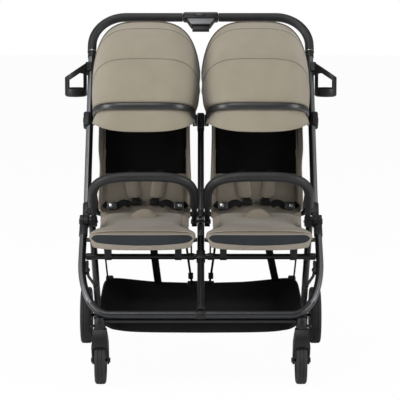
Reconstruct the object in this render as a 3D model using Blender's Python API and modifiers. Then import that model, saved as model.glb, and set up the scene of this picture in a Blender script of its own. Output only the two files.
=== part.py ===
"""Side by side twin stroller with a folding tubular frame.

Metres, +Z up. The stroller faces -Y, and +X is to the right of someone who looks at its front.
The origin is on the floor under the middle of the outline. Side-view points are (y, z) pairs, and
side-view angles are degrees from +Y towards +Z.
"""

import math

import bmesh
import bpy
from mathutils import Matrix, Vector

COLLECTION_NAME = "twin_stroller"

# Clearances
FIT = 0.0003
PIN_CLEARANCE = 0.0004

# Wheels
REAR_WHEEL_RADIUS = 0.090
REAR_TYRE_WIDTH = 0.034
REAR_WHEEL_X = 0.3645
REAR_AXLE_Y = 0.2655
REAR_AXLE_RADIUS = 0.005
FRONT_WHEEL_RADIUS = 0.070
FRONT_TYRE_WIDTH = 0.032
CASTER_X = 0.291
CASTER_STEM_Y = -0.3385
CASTER_TRAIL = 0.033
TYRE_DEPTH = 0.016
FRONT_AXLE_RADIUS = 0.004
WHEEL_STEPS = 20

# Frame
FOLD_PIVOT = (-0.0685, 0.442)
HANDLE_CENTRE = (0.3615, 1.034)
FRONT_BAR_CENTRE = (-0.3455, 0.212)
PUSH_TUBE_X = 0.3425
PUSH_TUBE_RADIUS = 0.011
LEG_X = 0.3505
LEG_RADIUS = 0.011
LEG_CORNER_WIDTH = 0.0855
LEG_CORNER_LENGTH = 0.205
CENTRE_POST_RADIUS = 0.0105
REAR_LEG_X = 0.3265
REAR_LEG_RADIUS = 0.0105
GRIP_RADIUS = 0.014
HANDLE_CORNER_RADIUS = 0.105
GRIP_STRAIGHT = 0.0267
HINGE_REACH = 0.060
HINGE_DISC_RADIUS = 0.020
HINGE_PIN_RADIUS = 0.004
HINGE_NECK_RADIUS = 0.0130
HINGE_NECK_START = 0.0240
SEAT_TUBE_RADIUS = 0.0085
SEAT_TUBE_REACH = 0.139
BASKET_RAIL_RADIUS = 0.007
BACK_HOOP_RADIUS = 0.008
BACK_PIVOT = (0.100, 0.440)

# Seats, one on each side of the middle
SEAT_CENTRE_X = 0.1725
SEAT_REAR_Y = 0.0815
SEAT_FRONT_Y = -0.1740
SEAT_HALF_FRONT = 0.158
SEAT_HALF_REAR = 0.137
SEAT_BOARD_BOTTOM = 0.3930
SEAT_BOARD_THICKNESS = 0.008
SEAT_PAD_THICKNESS = 0.034
LEG_REST_PIVOT = (-0.1830, 0.411)
LEG_REST_DROP = 0.044
LEG_REST_RISE = 0.012
BACKREST_ANGLE = 65.6
BACKREST_LENGTH = 0.475
BACKREST_HALF_WIDTH = 0.1420
BACKREST_CENTRE_X = 0.1705
BACK_BOARD_THICKNESS = 0.007
BACK_BOARD_INSET = 0.014

# Bumper bars
BUMPER_ANGLE = 137.5
BUMPER_REACH = 0.232
BUMPER_GRIP_RADIUS = 0.014
BUMPER_END_RADIUS = 0.0085
BUMPER_OUTER_INSET = 0.0031
BUMPER_INNER_INSET = 0.0079
BUMPER_SHAPE = 3.4
BUMPER_SOCKET_REACH = 0.045

# Canopies
CANOPY_PIVOT_REACH = 0.352
CANOPY_CENTRE_X = 0.1713
CANOPY_HALF_WIDTH = 0.1560
CANOPY_RADIUS = 0.303
CANOPY_FRONT_ANGLE = 166.5
CANOPY_REAR_ANGLE = 53.0
CANOPY_SEAM_ANGLES = (99.0, 137.0)
CANOPY_FRONT_SHAPE = 4.6
CANOPY_REAR_SHAPE = 3.5
CANOPY_BULGE = 0.0065
CANOPY_POINTS = 17
CANOPY_CLOTH = 0.003
CANOPY_DIP = 0.005
BOW_HEIGHT = 0.020
BOW_THICKNESS = 0.008
VISOR_LENGTH = 0.066

# Basket
BASKET_HALF_WIDTH = 0.300
BASKET_FRONT_Y = -0.3312
BASKET_REAR_Y = 0.2100
BASKET_FLOOR_Z = 0.1520
BASKET_WALL = 0.003
BASKET_SHAPE = 7.0
BASKET_FRONT_RIM_Z = 0.190
BASKET_REAR_RIM_Z = 0.229

# Cup holders
CUP_X = 0.3905
CUP_OUTER_RADIUS = 0.0345
CUP_WALL = 0.0025
CUP_BELOW_GRIP = 0.060
CUP_DROP = 0.0854
CUP_CLIP_HALF = 0.017

COLOURS = {
    "frame": ((0.055, 0.057, 0.062), 0.35, 0.7),
    "joint": ((0.030, 0.031, 0.034), 0.55, 0.0),
    "grip": ((0.045, 0.045, 0.050), 0.60, 0.0),
    "trim": ((0.170, 0.172, 0.180), 0.40, 0.2),
    "gloss": ((0.020, 0.021, 0.024), 0.15, 0.0),
    "taupe": ((0.420, 0.380, 0.320), 0.80, 0.0),
    "mesh": ((0.040, 0.042, 0.050), 0.85, 0.0),
    "webbing": ((0.020, 0.020, 0.022), 0.80, 0.0),
    "tyre": ((0.030, 0.030, 0.032), 0.75, 0.0),
    "steel": ((0.550, 0.560, 0.570), 0.35, 1.0),
}


def angle_between(start, end):
    """Side-view angle of the line from start to end."""
    return math.degrees(math.atan2(end[1] - start[1], end[0] - start[0]))


def at(origin, angle, reach, x=0.0, lift=0.0):
    """Point reach along a side-view angle from origin, then lift square to it, to its left."""
    a = math.radians(angle)
    y = origin[0] + reach * math.cos(a) - lift * math.sin(a)
    z = origin[1] + reach * math.sin(a) + lift * math.cos(a)
    return Vector((x, y, z))


PUSH_ANGLE = angle_between(FOLD_PIVOT, HANDLE_CENTRE)
PUSH_LENGTH = math.dist(FOLD_PIVOT, HANDLE_CENTRE)
GRIP_START = PUSH_LENGTH - HANDLE_CORNER_RADIUS - GRIP_STRAIGHT
CUP_REACH = GRIP_START - CUP_BELOW_GRIP
LEG_ANGLE = angle_between(FOLD_PIVOT, FRONT_BAR_CENTRE)
LEG_LENGTH = math.dist(FOLD_PIVOT, FRONT_BAR_CENTRE)
REAR_AXLE = (REAR_AXLE_Y, REAR_WHEEL_RADIUS)
REAR_LEG_ANGLE = angle_between(FOLD_PIVOT, REAR_AXLE)
REAR_LEG_LENGTH = math.dist(FOLD_PIVOT, REAR_AXLE)
FRONT_AXLE = (CASTER_STEM_Y + CASTER_TRAIL, FRONT_WHEEL_RADIUS)
CANOPY_PIVOT = tuple(at(FOLD_PIVOT, PUSH_ANGLE, CANOPY_PIVOT_REACH))[1:]
SEAT_BOARD_TOP = SEAT_BOARD_BOTTOM + SEAT_BOARD_THICKNESS


# Scene and mesh helpers

def clear_scene():
    for obj in list(bpy.data.objects):
        bpy.data.objects.remove(obj, do_unlink=True)


def make_collection():
    collection = bpy.data.collections.new(COLLECTION_NAME)
    bpy.context.scene.collection.children.link(collection)
    return collection


def material(key):
    name = "stroller_" + key
    found = bpy.data.materials.get(name)
    if found:
        return found
    colour, roughness, metallic = COLOURS[key]
    made = bpy.data.materials.new(name)
    made.use_nodes = True
    shader = made.node_tree.nodes["Principled BSDF"]
    shader.inputs["Base Color"].default_value = (*colour, 1.0)
    shader.inputs["Roughness"].default_value = roughness
    shader.inputs["Metallic"].default_value = metallic
    return made


def new_object(name, mesh):
    obj = bpy.data.objects.new(name, mesh)
    parts.objects.link(obj)
    return obj


def face_outwards(bm):
    bmesh.ops.recalc_face_normals(bm, faces=bm.faces)
    if bm.calc_volume(signed=True) < 0:
        bmesh.ops.reverse_faces(bm, faces=bm.faces)


def from_bmesh(name, bm):
    face_outwards(bm)
    mesh = bpy.data.meshes.new(name)
    bm.to_mesh(mesh)
    bm.free()
    return new_object(name, mesh)


def baked(obj, weld=1e-5):
    """The object as a plain mesh in world space, with its modifiers applied and doubles welded."""
    bpy.context.view_layer.update()
    graph = bpy.context.evaluated_depsgraph_get()
    mesh = bpy.data.meshes.new_from_object(obj.evaluated_get(graph))
    mesh.transform(obj.matrix_world)
    name = obj.name
    bpy.data.objects.remove(obj, do_unlink=True)
    bm = bmesh.new()
    bm.from_mesh(mesh)
    bmesh.ops.remove_doubles(bm, verts=bm.verts, dist=weld)
    bmesh.ops.dissolve_degenerate(bm, edges=bm.edges, dist=1e-6)
    face_outwards(bm)
    bm.to_mesh(mesh)
    bm.free()
    return new_object(name, mesh)


def combine(target, tool, operation):
    """Boolean of two solids. The tool is used up."""
    modifier = target.modifiers.new("combine", "BOOLEAN")
    modifier.operation = operation
    modifier.object = tool
    result = baked(target)
    bpy.data.objects.remove(tool, do_unlink=True)
    return result


def cut(target, *tools):
    for tool in tools:
        target = combine(target, tool, "DIFFERENCE")
    return target


def union(target, *others):
    for other in others:
        target = combine(target, other, "UNION")
    return target


def box(name, low, high, bevel=0.0, segments=1, turn=None):
    """Box between two corners, in the axes of turn where one is given."""
    low, high = Vector(low), Vector(high)
    bm = bmesh.new()
    bmesh.ops.create_cube(bm, size=1.0)
    bmesh.ops.scale(bm, vec=high - low, verts=bm.verts)
    bmesh.ops.translate(bm, vec=(low + high) / 2, verts=bm.verts)
    if bevel:
        bmesh.ops.bevel(bm, geom=bm.edges[:], offset=bevel, segments=segments, affect="EDGES", profile=0.5)
    if turn is not None:
        bm.transform(turn)
    return from_bmesh(name, bm)


def side_frame(origin, angle, x=0.0):
    """Axes at a side-view point: X stays, Y runs along the angle and Z is square to it."""
    a = math.radians(angle)
    return Matrix.Translation((x, origin[0], origin[1])) @ Matrix.Rotation(a, 4, "X")


def rod(name, start, end, radius, sides=16, end_radius=None):
    """Straight round bar between two points."""
    start, end = Vector(start), Vector(end)
    run = end - start
    bm = bmesh.new()
    bmesh.ops.create_cone(bm, cap_ends=True, segments=sides, radius1=radius,
                          radius2=radius if end_radius is None else end_radius, depth=run.length)
    turn = run.to_track_quat("Z", "Y").to_matrix().to_4x4()
    bm.transform(Matrix.Translation((start + end) / 2) @ turn)
    return from_bmesh(name, bm)


def disc(name, centre, x_low, x_high, radius, sides=0):
    """Round plate square to X."""
    sides = sides or (12 if radius < 0.012 else 16)
    return rod(name, (x_low, centre[0], centre[1]), (x_high, centre[0], centre[1]), radius, sides)


def tube(name, points, radius, resolution=3, radii=None):
    """Bent round bar through points. radii scale its radius point by point."""
    curve = bpy.data.curves.new(name, "CURVE")
    curve.dimensions = "3D"
    curve.bevel_depth = radius
    curve.bevel_resolution = resolution
    curve.use_fill_caps = True
    spline = curve.splines.new("POLY")
    spline.points.add(len(points) - 1)
    for index, point in enumerate(points):
        spline.points[index].co = (*point, 1.0)
        spline.points[index].radius = radii[index] if radii else 1.0
    return baked(new_object(name, curve))


def plate(name, outline, thickness, frame):
    """Flat outline with a thickness, centred on the XY plane of frame."""
    curve = bpy.data.curves.new(name, "CURVE")
    curve.dimensions = "2D"
    curve.fill_mode = "BOTH"
    curve.extrude = thickness / 2
    spline = curve.splines.new("POLY")
    spline.points.add(len(outline) - 1)
    for index, point in enumerate(outline):
        spline.points[index].co = (point[0], point[1], 0.0, 1.0)
    spline.use_cyclic_u = True
    obj = new_object(name, curve)
    obj.matrix_world = frame
    return baked(obj)


def side_plate(name, outline, x_low, x_high):
    """Side-view outline with a thickness from x_low to x_high."""
    frame = Matrix(((0, 0, 1, (x_low + x_high) / 2), (1, 0, 0, 0), (0, 1, 0, 0), (0, 0, 0, 1)))
    return plate(name, outline, abs(x_high - x_low), frame)


def turned(name, profile, centre, axis, steps=32):
    """Turned solid. The profile is (radius, height) pairs, heights along axis from centre."""
    bm = bmesh.new()
    verts = [bm.verts.new((radius, 0.0, height)) for radius, height in profile]
    for first, second in zip(verts, verts[1:]):
        bm.edges.new((first, second))
    if profile[0][0] > 0:
        bm.edges.new((verts[-1], verts[0]))
    mesh = bpy.data.meshes.new(name)
    bm.to_mesh(mesh)
    bm.free()
    obj = new_object(name, mesh)
    screw = obj.modifiers.new("turn", "SCREW")
    screw.steps = steps
    screw.render_steps = steps
    screw.use_merge_vertices = True
    screw.merge_threshold = 1e-5
    turn = Vector(axis).to_track_quat("Z", "Y").to_matrix().to_4x4()
    obj.matrix_world = Matrix.Translation(centre) @ turn
    return baked(obj)


def loft(name, rings):
    """Closed solid through rings of equal point counts, capped at both ends."""
    bm = bmesh.new()
    loops = [[bm.verts.new(point) for point in ring] for ring in rings]
    count = len(loops[0])
    for lower, upper in zip(loops, loops[1:]):
        for index in range(count):
            following = (index + 1) % count
            bm.faces.new((lower[index], lower[following], upper[following], upper[index]))
    bm.faces.new(loops[0][::-1])
    bm.faces.new(loops[-1])
    return from_bmesh(name, bm)


def sheet(name, rows, thickness):
    """Open grid of points given a wall. The wall is laid behind the grid's faces."""
    bm = bmesh.new()
    grid = [[bm.verts.new(point) for point in row] for row in rows]
    for lower, upper in zip(grid, grid[1:]):
        for index in range(len(lower) - 1):
            bm.faces.new((lower[index], lower[index + 1], upper[index + 1], upper[index]))
    mesh = bpy.data.meshes.new(name)
    bm.to_mesh(mesh)
    bm.free()
    obj = new_object(name, mesh)
    wall = obj.modifiers.new("wall", "SOLIDIFY")
    wall.thickness = thickness
    wall.offset = -1.0
    wall.use_even_offset = True
    return baked(obj)


def pillow(name, columns, rows, top, bottom, frame, waist=0.0):
    """Cushion over a grid. top and bottom give (a, b, height) for grid shares u and v, and the
    sides are drawn in by waist at mid height."""
    bm = bmesh.new()

    def grid(function):
        return [[bm.verts.new(function(i / columns, j / rows)) for i in range(columns + 1)]
                for j in range(rows + 1)]

    def skin(points, flip):
        for lower, upper in zip(points, points[1:]):
            for i in range(columns):
                quad = (lower[i], lower[i + 1], upper[i + 1], upper[i])
                bm.faces.new(quad[::-1] if flip else quad)

    def border(points):
        loop = points[0][:] + [row[-1] for row in points[1:]]
        loop += points[-1][-2::-1] + [row[0] for row in points[-2:0:-1]]
        return loop

    upper_grid, lower_grid = grid(top), grid(bottom)
    skin(upper_grid, False)
    skin(lower_grid, True)
    upper, lower = border(upper_grid), border(lower_grid)
    middle = sum((vert.co for vert in upper), Vector()) / len(upper)
    waists = []
    for high, low in zip(upper, lower):
        point = (high.co + low.co) / 2
        inward = Vector((middle.x - point.x, middle.y - point.y, 0.0))
        waists.append(bm.verts.new(point + inward.normalized() * waist))
    for index in range(len(upper)):
        following = (index + 1) % len(upper)
        bm.faces.new((upper[index], waists[index], waists[following], upper[following]))
        bm.faces.new((waists[index], lower[index], lower[following], waists[following]))
    bm.transform(frame)
    return from_bmesh(name, bm)


def arc(centre, radius, start, end, steps):
    """Points of an arc in a plane, angles in degrees."""
    points = []
    for index in range(steps + 1):
        a = math.radians(start + (end - start) * index / steps)
        points.append((centre[0] + radius * math.cos(a), centre[1] + radius * math.sin(a)))
    return points


def arch(half_width, height, shape, count):
    """(x, height) points evenly spaced along half a superellipse, from +x over the top to -x."""
    dense = []
    for index in range(401):
        a = math.pi * index / 400
        c, s = math.cos(a), math.sin(a)
        x = half_width * math.copysign(abs(c) ** (2 / shape), c)
        dense.append((x, height * max(s, 0.0) ** (2 / shape)))
    lengths = [0.0]
    for first, second in zip(dense, dense[1:]):
        lengths.append(lengths[-1] + math.dist(first, second))
    points, k = [], 0
    for index in range(count):
        target = lengths[-1] * index / (count - 1)
        while k < len(dense) - 2 and lengths[k + 1] < target:
            k += 1
        share = (target - lengths[k]) / (lengths[k + 1] - lengths[k])
        first, second = dense[k], dense[k + 1]
        points.append((first[0] + (second[0] - first[0]) * share, first[1] + (second[1] - first[1]) * share))
    return points


def ordered(sign, pair):
    low, high = sign * pair[0], sign * pair[1]
    return (low, high) if low < high else (high, low)


# Wheels

def wheel(side, x, axle, radius, width, axle_radius, label, steps):
    """Tyre and spoked rim. side is left or right, and x is the wheel's middle."""
    half = width / 2
    rim_radius = radius - TYRE_DEPTH
    centre = (x, axle[0], axle[1])
    tyre_profile = [
        (rim_radius + FIT, half * 0.80), (radius - 0.006, half), (radius, half * 0.55),
        (radius, -half * 0.55), (radius - 0.006, -half), (rim_radius + FIT, -half * 0.80),
    ]
    tyre = turned(f"{label}_tyre_{side}", tyre_profile, centre, (1, 0, 0), steps)
    hub = 0.016
    bore = axle_radius + PIN_CLEARANCE
    web = half * 0.36
    rim_profile = [
        (bore, half * 0.88), (hub, half * 0.88), (hub + 0.003, web), (rim_radius - 0.008, web),
        (rim_radius, half * 0.80), (rim_radius, -half * 0.80), (rim_radius - 0.008, -web),
        (hub + 0.003, -web), (hub, -half * 0.88), (bore, -half * 0.88),
    ]
    rim = turned(f"{label}_rim_{side}", rim_profile, centre, (1, 0, 0), steps)
    spokes = 5
    inner, outer = hub + 0.008, rim_radius - 0.013
    for index in range(spokes):
        middle = 360 * (index + 0.5) / spokes
        window = arc((0, 0), outer, middle - 24, middle + 24, 3)
        window += arc((0, 0), inner, middle + 12, middle - 12, 1)
        outline = [(axle[0] + a, axle[1] + b) for a, b in window]
        rim = cut(rim, side_plate("window", outline, x - half, x + half))
    return tyre, rim


def rear_wheels():
    made = []
    for side, sign in SIDES:
        made.append(wheel(side, sign * REAR_WHEEL_X, REAR_AXLE, REAR_WHEEL_RADIUS, REAR_TYRE_WIDTH,
                          REAR_AXLE_RADIUS, "rear", WHEEL_STEPS))
    return made


def front_wheels():
    made = []
    for side, sign in SIDES:
        made.append(wheel(side, sign * CASTER_X, FRONT_AXLE, FRONT_WHEEL_RADIUS, FRONT_TYRE_WIDTH,
                          FRONT_AXLE_RADIUS, "front", WHEEL_STEPS))
    return made


# Casters

HOUSING_RADIUS = 0.0160
HOUSING_TOP = FRONT_BAR_CENTRE[1] + 0.003
HOUSING_BOTTOM = 0.170
STEM_RADIUS = 0.0060
STEM_DEPTH = 0.020
LOCK_TAB_REACH = 0.012
LOCK_TAB_THICKNESS = 0.004
FORK_HALF_WIDTH = 0.0245
FORK_ARM = 0.0050


def caster_housing(side, sign):
    """Socket under the front bar, with a blind bore for the fork's stem and a tab for the swivel lock."""
    bore = STEM_RADIUS + PIN_CLEARANCE
    bore_top = HOUSING_BOTTOM + STEM_DEPTH + 0.001
    profile = [
        (0.0, HOUSING_TOP), (HOUSING_RADIUS - 0.002, HOUSING_TOP), (HOUSING_RADIUS, HOUSING_TOP - 0.002),
        (HOUSING_RADIUS, HOUSING_BOTTOM), (bore, HOUSING_BOTTOM), (bore, bore_top), (0.0, bore_top),
    ]
    x = sign * CASTER_X
    housing = turned("caster_housing_" + side, profile, (x, CASTER_STEM_Y, 0.0), (0, 0, 1), 16)
    reach = HOUSING_RADIUS + LOCK_TAB_REACH
    outline = arc((0.0, 0.0), reach, -32, 32, 6) + arc((0.0, 0.0), HOUSING_RADIUS - 0.002, 36, -36, 3)
    frame = Matrix.Translation((x, CASTER_STEM_Y, HOUSING_BOTTOM + LOCK_TAB_THICKNESS / 2 + 0.006))
    tab = plate("tab", [(sign * a, b) for a, b in outline], LOCK_TAB_THICKNESS, frame)
    housing = cut(union(housing, tab), leg_tube("seat", sign, LEG_RADIUS + FIT))
    y, z = FRONT_BAR_CENTRE
    bar = rod("bar", (x - 0.05, y, z), (x + 0.05, y, z), LEG_RADIUS + FIT, 14)
    return cut(housing, bar)


def caster_fork(side, sign):
    """Fork with a front skirt over the wheel, its stem, and the axle with its caps."""
    x = sign * CASTER_X
    top = HOUSING_BOTTOM - FIT
    wheel_gap = FRONT_WHEEL_RADIUS + 0.0035
    arm = 0.0125
    front = CASTER_STEM_Y - HOUSING_RADIUS
    back = CASTER_STEM_Y + HOUSING_RADIUS
    outline = [(back, top), (front, top), (front - 0.010, top - 0.014), (front - 0.0145, top - 0.030)]
    outline += [(front - 0.0145, top - 0.046), (front - 0.008, top - 0.052)]
    outline += arc(FRONT_AXLE, arm, 200, 380, 8)
    outline += [(back + 0.022, top - 0.046), (back + 0.018, top - 0.022), (back + 0.006, top - 0.008)]
    fork = side_plate("caster_fork_" + side, outline, x - FORK_HALF_WIDTH, x + FORK_HALF_WIDTH)
    gap = FORK_HALF_WIDTH - FORK_ARM
    fork = cut(fork, disc("slot", FRONT_AXLE, x - gap, x + gap, wheel_gap, 24))
    stem_top = HOUSING_BOTTOM + STEM_DEPTH
    stem = rod("stem", (x, CASTER_STEM_Y, top - 0.004), (x, CASTER_STEM_Y, stem_top), STEM_RADIUS, 12)
    axle = disc("axle", FRONT_AXLE, x - FORK_HALF_WIDTH - 0.001, x + FORK_HALF_WIDTH + 0.001,
                FRONT_AXLE_RADIUS, 12)
    caps = []
    for end in (-1, 1):
        face = x + end * (FORK_HALF_WIDTH - 0.001)
        caps.append(disc("cap", FRONT_AXLE, min(face, face + end * 0.0045), max(face, face + end * 0.0045),
                         0.0075, 12))
    return union(fork, stem, axle, *caps)


# Lower frame

CROSSBAR_END = LEG_X - LEG_CORNER_WIDTH - 0.004
# Layers of the side hinge, from the outside in
LEG_DISC = (0.3512, 0.3630)
PUSH_DISC = (0.3368, 0.3508)
REAR_DISC = (0.3232, 0.3364)
SOCKET_DISC = (0.3112, 0.3228)
PIN_HEAD = 0.0025
PIN_OUTER = LEG_DISC[1] + PIN_HEAD
PIN_INNER = SOCKET_DISC[0] - PIN_HEAD - FIT


def leg_point(reach, x):
    return at(FOLD_PIVOT, LEG_ANGLE, reach, x)


def leg_tube(name, sign, radius):
    """Side tube that bends into the front bar with an elliptical corner."""
    straight_end = LEG_LENGTH - LEG_CORNER_LENGTH
    points = [leg_point(HINGE_REACH - 0.004, sign * LEG_X), leg_point(straight_end, sign * LEG_X)]
    steps = 9
    for index in range(1, steps + 1):
        a = math.radians(90 * index / steps)
        reach = LEG_LENGTH - LEG_CORNER_LENGTH * (1 - math.sin(a))
        points.append(leg_point(reach, sign * (LEG_X - LEG_CORNER_WIDTH * (1 - math.cos(a)))))
    points.append(leg_point(LEG_LENGTH, sign * CROSSBAR_END))
    return tube(name, points, radius)


def front_leg(side, sign):
    """Leg tube with its hinge plate."""
    return union(leg_tube("front_leg_" + side, sign, LEG_RADIUS), hinge_base(sign))


def front_crossbar():
    end = CROSSBAR_END - FIT
    y, z = FRONT_BAR_CENTRE
    return rod("front_crossbar", (-end, y, z), (end, y, z), LEG_RADIUS, 14)


def basket_rail():
    """Thin rail under the front bar, between the caster sockets."""
    end = CASTER_X - HOUSING_RADIUS - FIT
    z = FRONT_BAR_CENTRE[1] - LEG_RADIUS - BASKET_RAIL_RADIUS - FIT
    y = CASTER_STEM_Y
    return rod("basket_rail", (-end, y, z), (end, y, z), BASKET_RAIL_RADIUS, 10)


def hinge_base(sign):
    """Outer hinge plate of the lower frame, with its collar on the leg and the hinge pin."""
    outer = disc("outer", FOLD_PIVOT, *ordered(sign, LEG_DISC), HINGE_DISC_RADIUS)
    neck = rod("neck", leg_point(HINGE_NECK_START, sign * LEG_X), leg_point(HINGE_REACH, sign * LEG_X),
               HINGE_NECK_RADIUS, 16)
    low, high = ordered(sign, LEG_DISC)
    bridge = box("bridge", (low, 0.0, -0.011), (high, 0.034, 0.011), turn=side_frame(FOLD_PIVOT, LEG_ANGLE))
    pin = disc("pin", FOLD_PIVOT, *ordered(sign, (PIN_INNER, PIN_OUTER)), HINGE_PIN_RADIUS, 12)
    head = disc("head", FOLD_PIVOT, *ordered(sign, (LEG_DISC[1] - 0.001, PIN_OUTER)), 0.009, 16)
    retainer = disc("retainer", FOLD_PIVOT, *ordered(sign, (PIN_INNER, SOCKET_DISC[0] - FIT)), 0.0075, 14)
    return union(outer, neck, bridge, pin, head, retainer)


def hinge_hole(name, x_low, x_high):
    return disc(name, FOLD_PIVOT, x_low, x_high, HINGE_PIN_RADIUS + PIN_CLEARANCE, 16)


CLEVIS_GAP = 0.0064
CLEVIS_GAP_RADIUS = 0.0256
CLEVIS_HALF_DEPTH = 0.0125
TONGUE = 0.0061
CENTRE_PIN_END = 0.0300
CENTRE_SOCKET_DISC = (0.0112, 0.0272)
BUMPER_OUTER_X = SOCKET_DISC[1] - BUMPER_OUTER_INSET
BUMPER_INNER_X = CENTRE_SOCKET_DISC[0] + BUMPER_INNER_INSET
BUMPER_CENTRE_X = (BUMPER_OUTER_X + BUMPER_INNER_X) / 2
BUMPER_HALF_SPAN = (BUMPER_OUTER_X - BUMPER_INNER_X) / 2


def centre_post_lower():
    """Middle tube from the front bar up to a clevis at the fold axis, with the clevis pin."""
    saddle_reach = LEG_LENGTH - LEG_RADIUS - FIT
    post = tube("centre_post_lower", [leg_point(0.052, 0.0), leg_point(saddle_reach, 0.0)],
                CENTRE_POST_RADIUS)
    frame = side_frame(FOLD_PIVOT, LEG_ANGLE)
    half = CENTRE_POST_RADIUS
    block = box("block", (-half, 0.0, -CLEVIS_HALF_DEPTH), (half, 0.066, CLEVIS_HALF_DEPTH), turn=frame)
    ears = disc("ears", FOLD_PIVOT, -CENTRE_POST_RADIUS, CENTRE_POST_RADIUS, 0.0185)
    post = union(post, block, ears)
    post = cut(post, disc("gap", FOLD_PIVOT, -CLEVIS_GAP, CLEVIS_GAP, CLEVIS_GAP_RADIUS, 20))
    pin = disc("pin", FOLD_PIVOT, -CENTRE_PIN_END, CENTRE_PIN_END, HINGE_PIN_RADIUS, 12)
    keeper_layer = (CENTRE_SOCKET_DISC[1] + FIT, CENTRE_PIN_END)
    keepers = [disc("keeper", FOLD_PIVOT, *ordered(sign, keeper_layer), 0.0075, 14) for sign in (-1, 1)]
    post = union(post, pin, *keepers)
    middle = leg_point(SEAT_TUBE_REACH, 0.0)
    saddle = box("saddle", (-0.013, SEAT_TUBE_REACH - 0.016, -CLEVIS_HALF_DEPTH),
                 (0.013, SEAT_TUBE_REACH + 0.016, CLEVIS_HALF_DEPTH), 0.002, 1, frame)
    bore = disc("bore", (middle.y, middle.z), -0.03, 0.03, SEAT_TUBE_RADIUS + FIT, 16)
    return cut(union(post, saddle), bore)


def seat_cross_tube():
    """Cross tube under the seats, between the front legs. It passes through the middle post."""
    middle = leg_point(SEAT_TUBE_REACH, 0.0)
    half = LEG_X - LEG_RADIUS - FIT
    start, end = (-half, middle.y, middle.z), (half, middle.y, middle.z)
    return rod("seat_cross_tube", start, end, SEAT_TUBE_RADIUS, 12)


# Rear frame

def rear_leg(side, sign):
    """Tube from the fold axis down to the rear axle, with a flat eye at each end."""
    start = at(FOLD_PIVOT, REAR_LEG_ANGLE, 0.012, sign * REAR_LEG_X)
    end = at(FOLD_PIVOT, REAR_LEG_ANGLE, REAR_LEG_LENGTH - 0.010, sign * REAR_LEG_X)
    leg = tube("rear_leg_" + side, [start, end], REAR_LEG_RADIUS)
    eye = disc("eye", FOLD_PIVOT, *ordered(sign, REAR_DISC), 0.016)
    boss = disc("boss", REAR_AXLE, *ordered(sign, (REAR_LEG_X - 0.0125, REAR_LEG_X + 0.0150)), 0.017)
    leg = union(leg, eye, boss)
    spare = disc("spare", FOLD_PIVOT, *ordered(sign, (REAR_LEG_X - 0.015, REAR_DISC[0])), 0.0265)
    outer = disc("outer", FOLD_PIVOT, *ordered(sign, (REAR_DISC[1], REAR_LEG_X + 0.015)), 0.0265)
    hole = hinge_hole("hole", *ordered(sign, (REAR_DISC[0] - 0.01, REAR_DISC[1] + 0.01)))
    leg = cut(leg, spare, outer, hole)
    bore = disc("bore", REAR_AXLE, *ordered(sign, (REAR_LEG_X - 0.02, REAR_LEG_X + 0.02)),
                REAR_AXLE_RADIUS + FIT, 16)
    return cut(leg, bore)


def rear_axle():
    """Cross tube between the rear legs and the thin shaft through the legs and wheels."""
    y, z = REAR_AXLE
    half = REAR_LEG_X - 0.0125 - FIT
    tube_part = rod("rear_axle", (-half, y, z), (half, y, z), 0.0115, 14)
    tip = REAR_WHEEL_X + REAR_TYRE_WIDTH * 0.44 + 0.0030
    shaft = rod("shaft", (-tip, y, z), (tip, y, z), REAR_AXLE_RADIUS, 12)
    caps = []
    for sign in (-1, 1):
        face = REAR_WHEEL_X + REAR_TYRE_WIDTH * 0.44 + 0.0006
        caps.append(disc("cap", REAR_AXLE, *ordered(sign, (face, face + 0.0045)), 0.0125, 16))
    return union(tube_part, shaft, *caps)


PEDAL_HALF_WIDTH = 0.040


def brake_pedal():
    """Foot pedal that turns on the rear cross tube."""
    ring = disc("brake_pedal", REAR_AXLE, -PEDAL_HALF_WIDTH, PEDAL_HALF_WIDTH, 0.0165, 16)
    frame = side_frame(REAR_AXLE, 12.0)
    half = PEDAL_HALF_WIDTH
    foot = box("foot", (-half, 0.008, -0.004), (half, 0.066, 0.005), 0.002, turn=frame)
    pedal = union(ring, foot)
    return cut(pedal, disc("hole", REAR_AXLE, -0.06, 0.06, 0.0115 + PIN_CLEARANCE, 16))


# Push frame

def push_point(reach, x):
    return at(FOLD_PIVOT, PUSH_ANGLE, reach, x)


CLIP_OUTER = 0.3620
CLIP_HALF = 0.026


def side_tube(side, sign):
    """Push tube from its hinge cap to the grip, with the canopy clip on its outside."""
    points = [push_point(HINGE_REACH, sign * PUSH_TUBE_X), push_point(GRIP_START - FIT, sign * PUSH_TUBE_X)]
    tube_part = tube("side_tube_" + side, points, PUSH_TUBE_RADIUS)
    low, high = ordered(sign, (PUSH_TUBE_X - 0.002, CLIP_OUTER))
    bottom, top = CANOPY_PIVOT_REACH - CLIP_HALF, CANOPY_PIVOT_REACH + CLIP_HALF
    frame = side_frame(FOLD_PIVOT, PUSH_ANGLE)
    clip = box("clip", (low, bottom, -0.0145), (high, top, 0.0145), 0.003, 2, frame)
    return union(tube_part, clip)


HOUSING_HALF = 0.0570
HOUSING_HALF_DEPTH = 0.0150
HOUSING_CORNER = 0.007


def handle_grip(side, sign):
    """Padded half of the handle: up from the side tube, round the corner and to the middle housing."""
    points = [push_point(GRIP_START, sign * PUSH_TUBE_X)]
    corner = PUSH_LENGTH - HANDLE_CORNER_RADIUS
    for index in range(9):
        a = math.radians(90 * index / 8)
        x = PUSH_TUBE_X - HANDLE_CORNER_RADIUS * (1 - math.cos(a))
        points.append(push_point(corner + HANDLE_CORNER_RADIUS * math.sin(a), sign * x))
    points.append(push_point(PUSH_LENGTH, sign * (HOUSING_HALF + FIT)))
    return tube("handle_grip_" + side, points, GRIP_RADIUS)


LEVER_POCKET_HALF = 0.0275
LEVER_TRAVEL = 0.005
LEVER_TOP = -0.023


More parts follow.
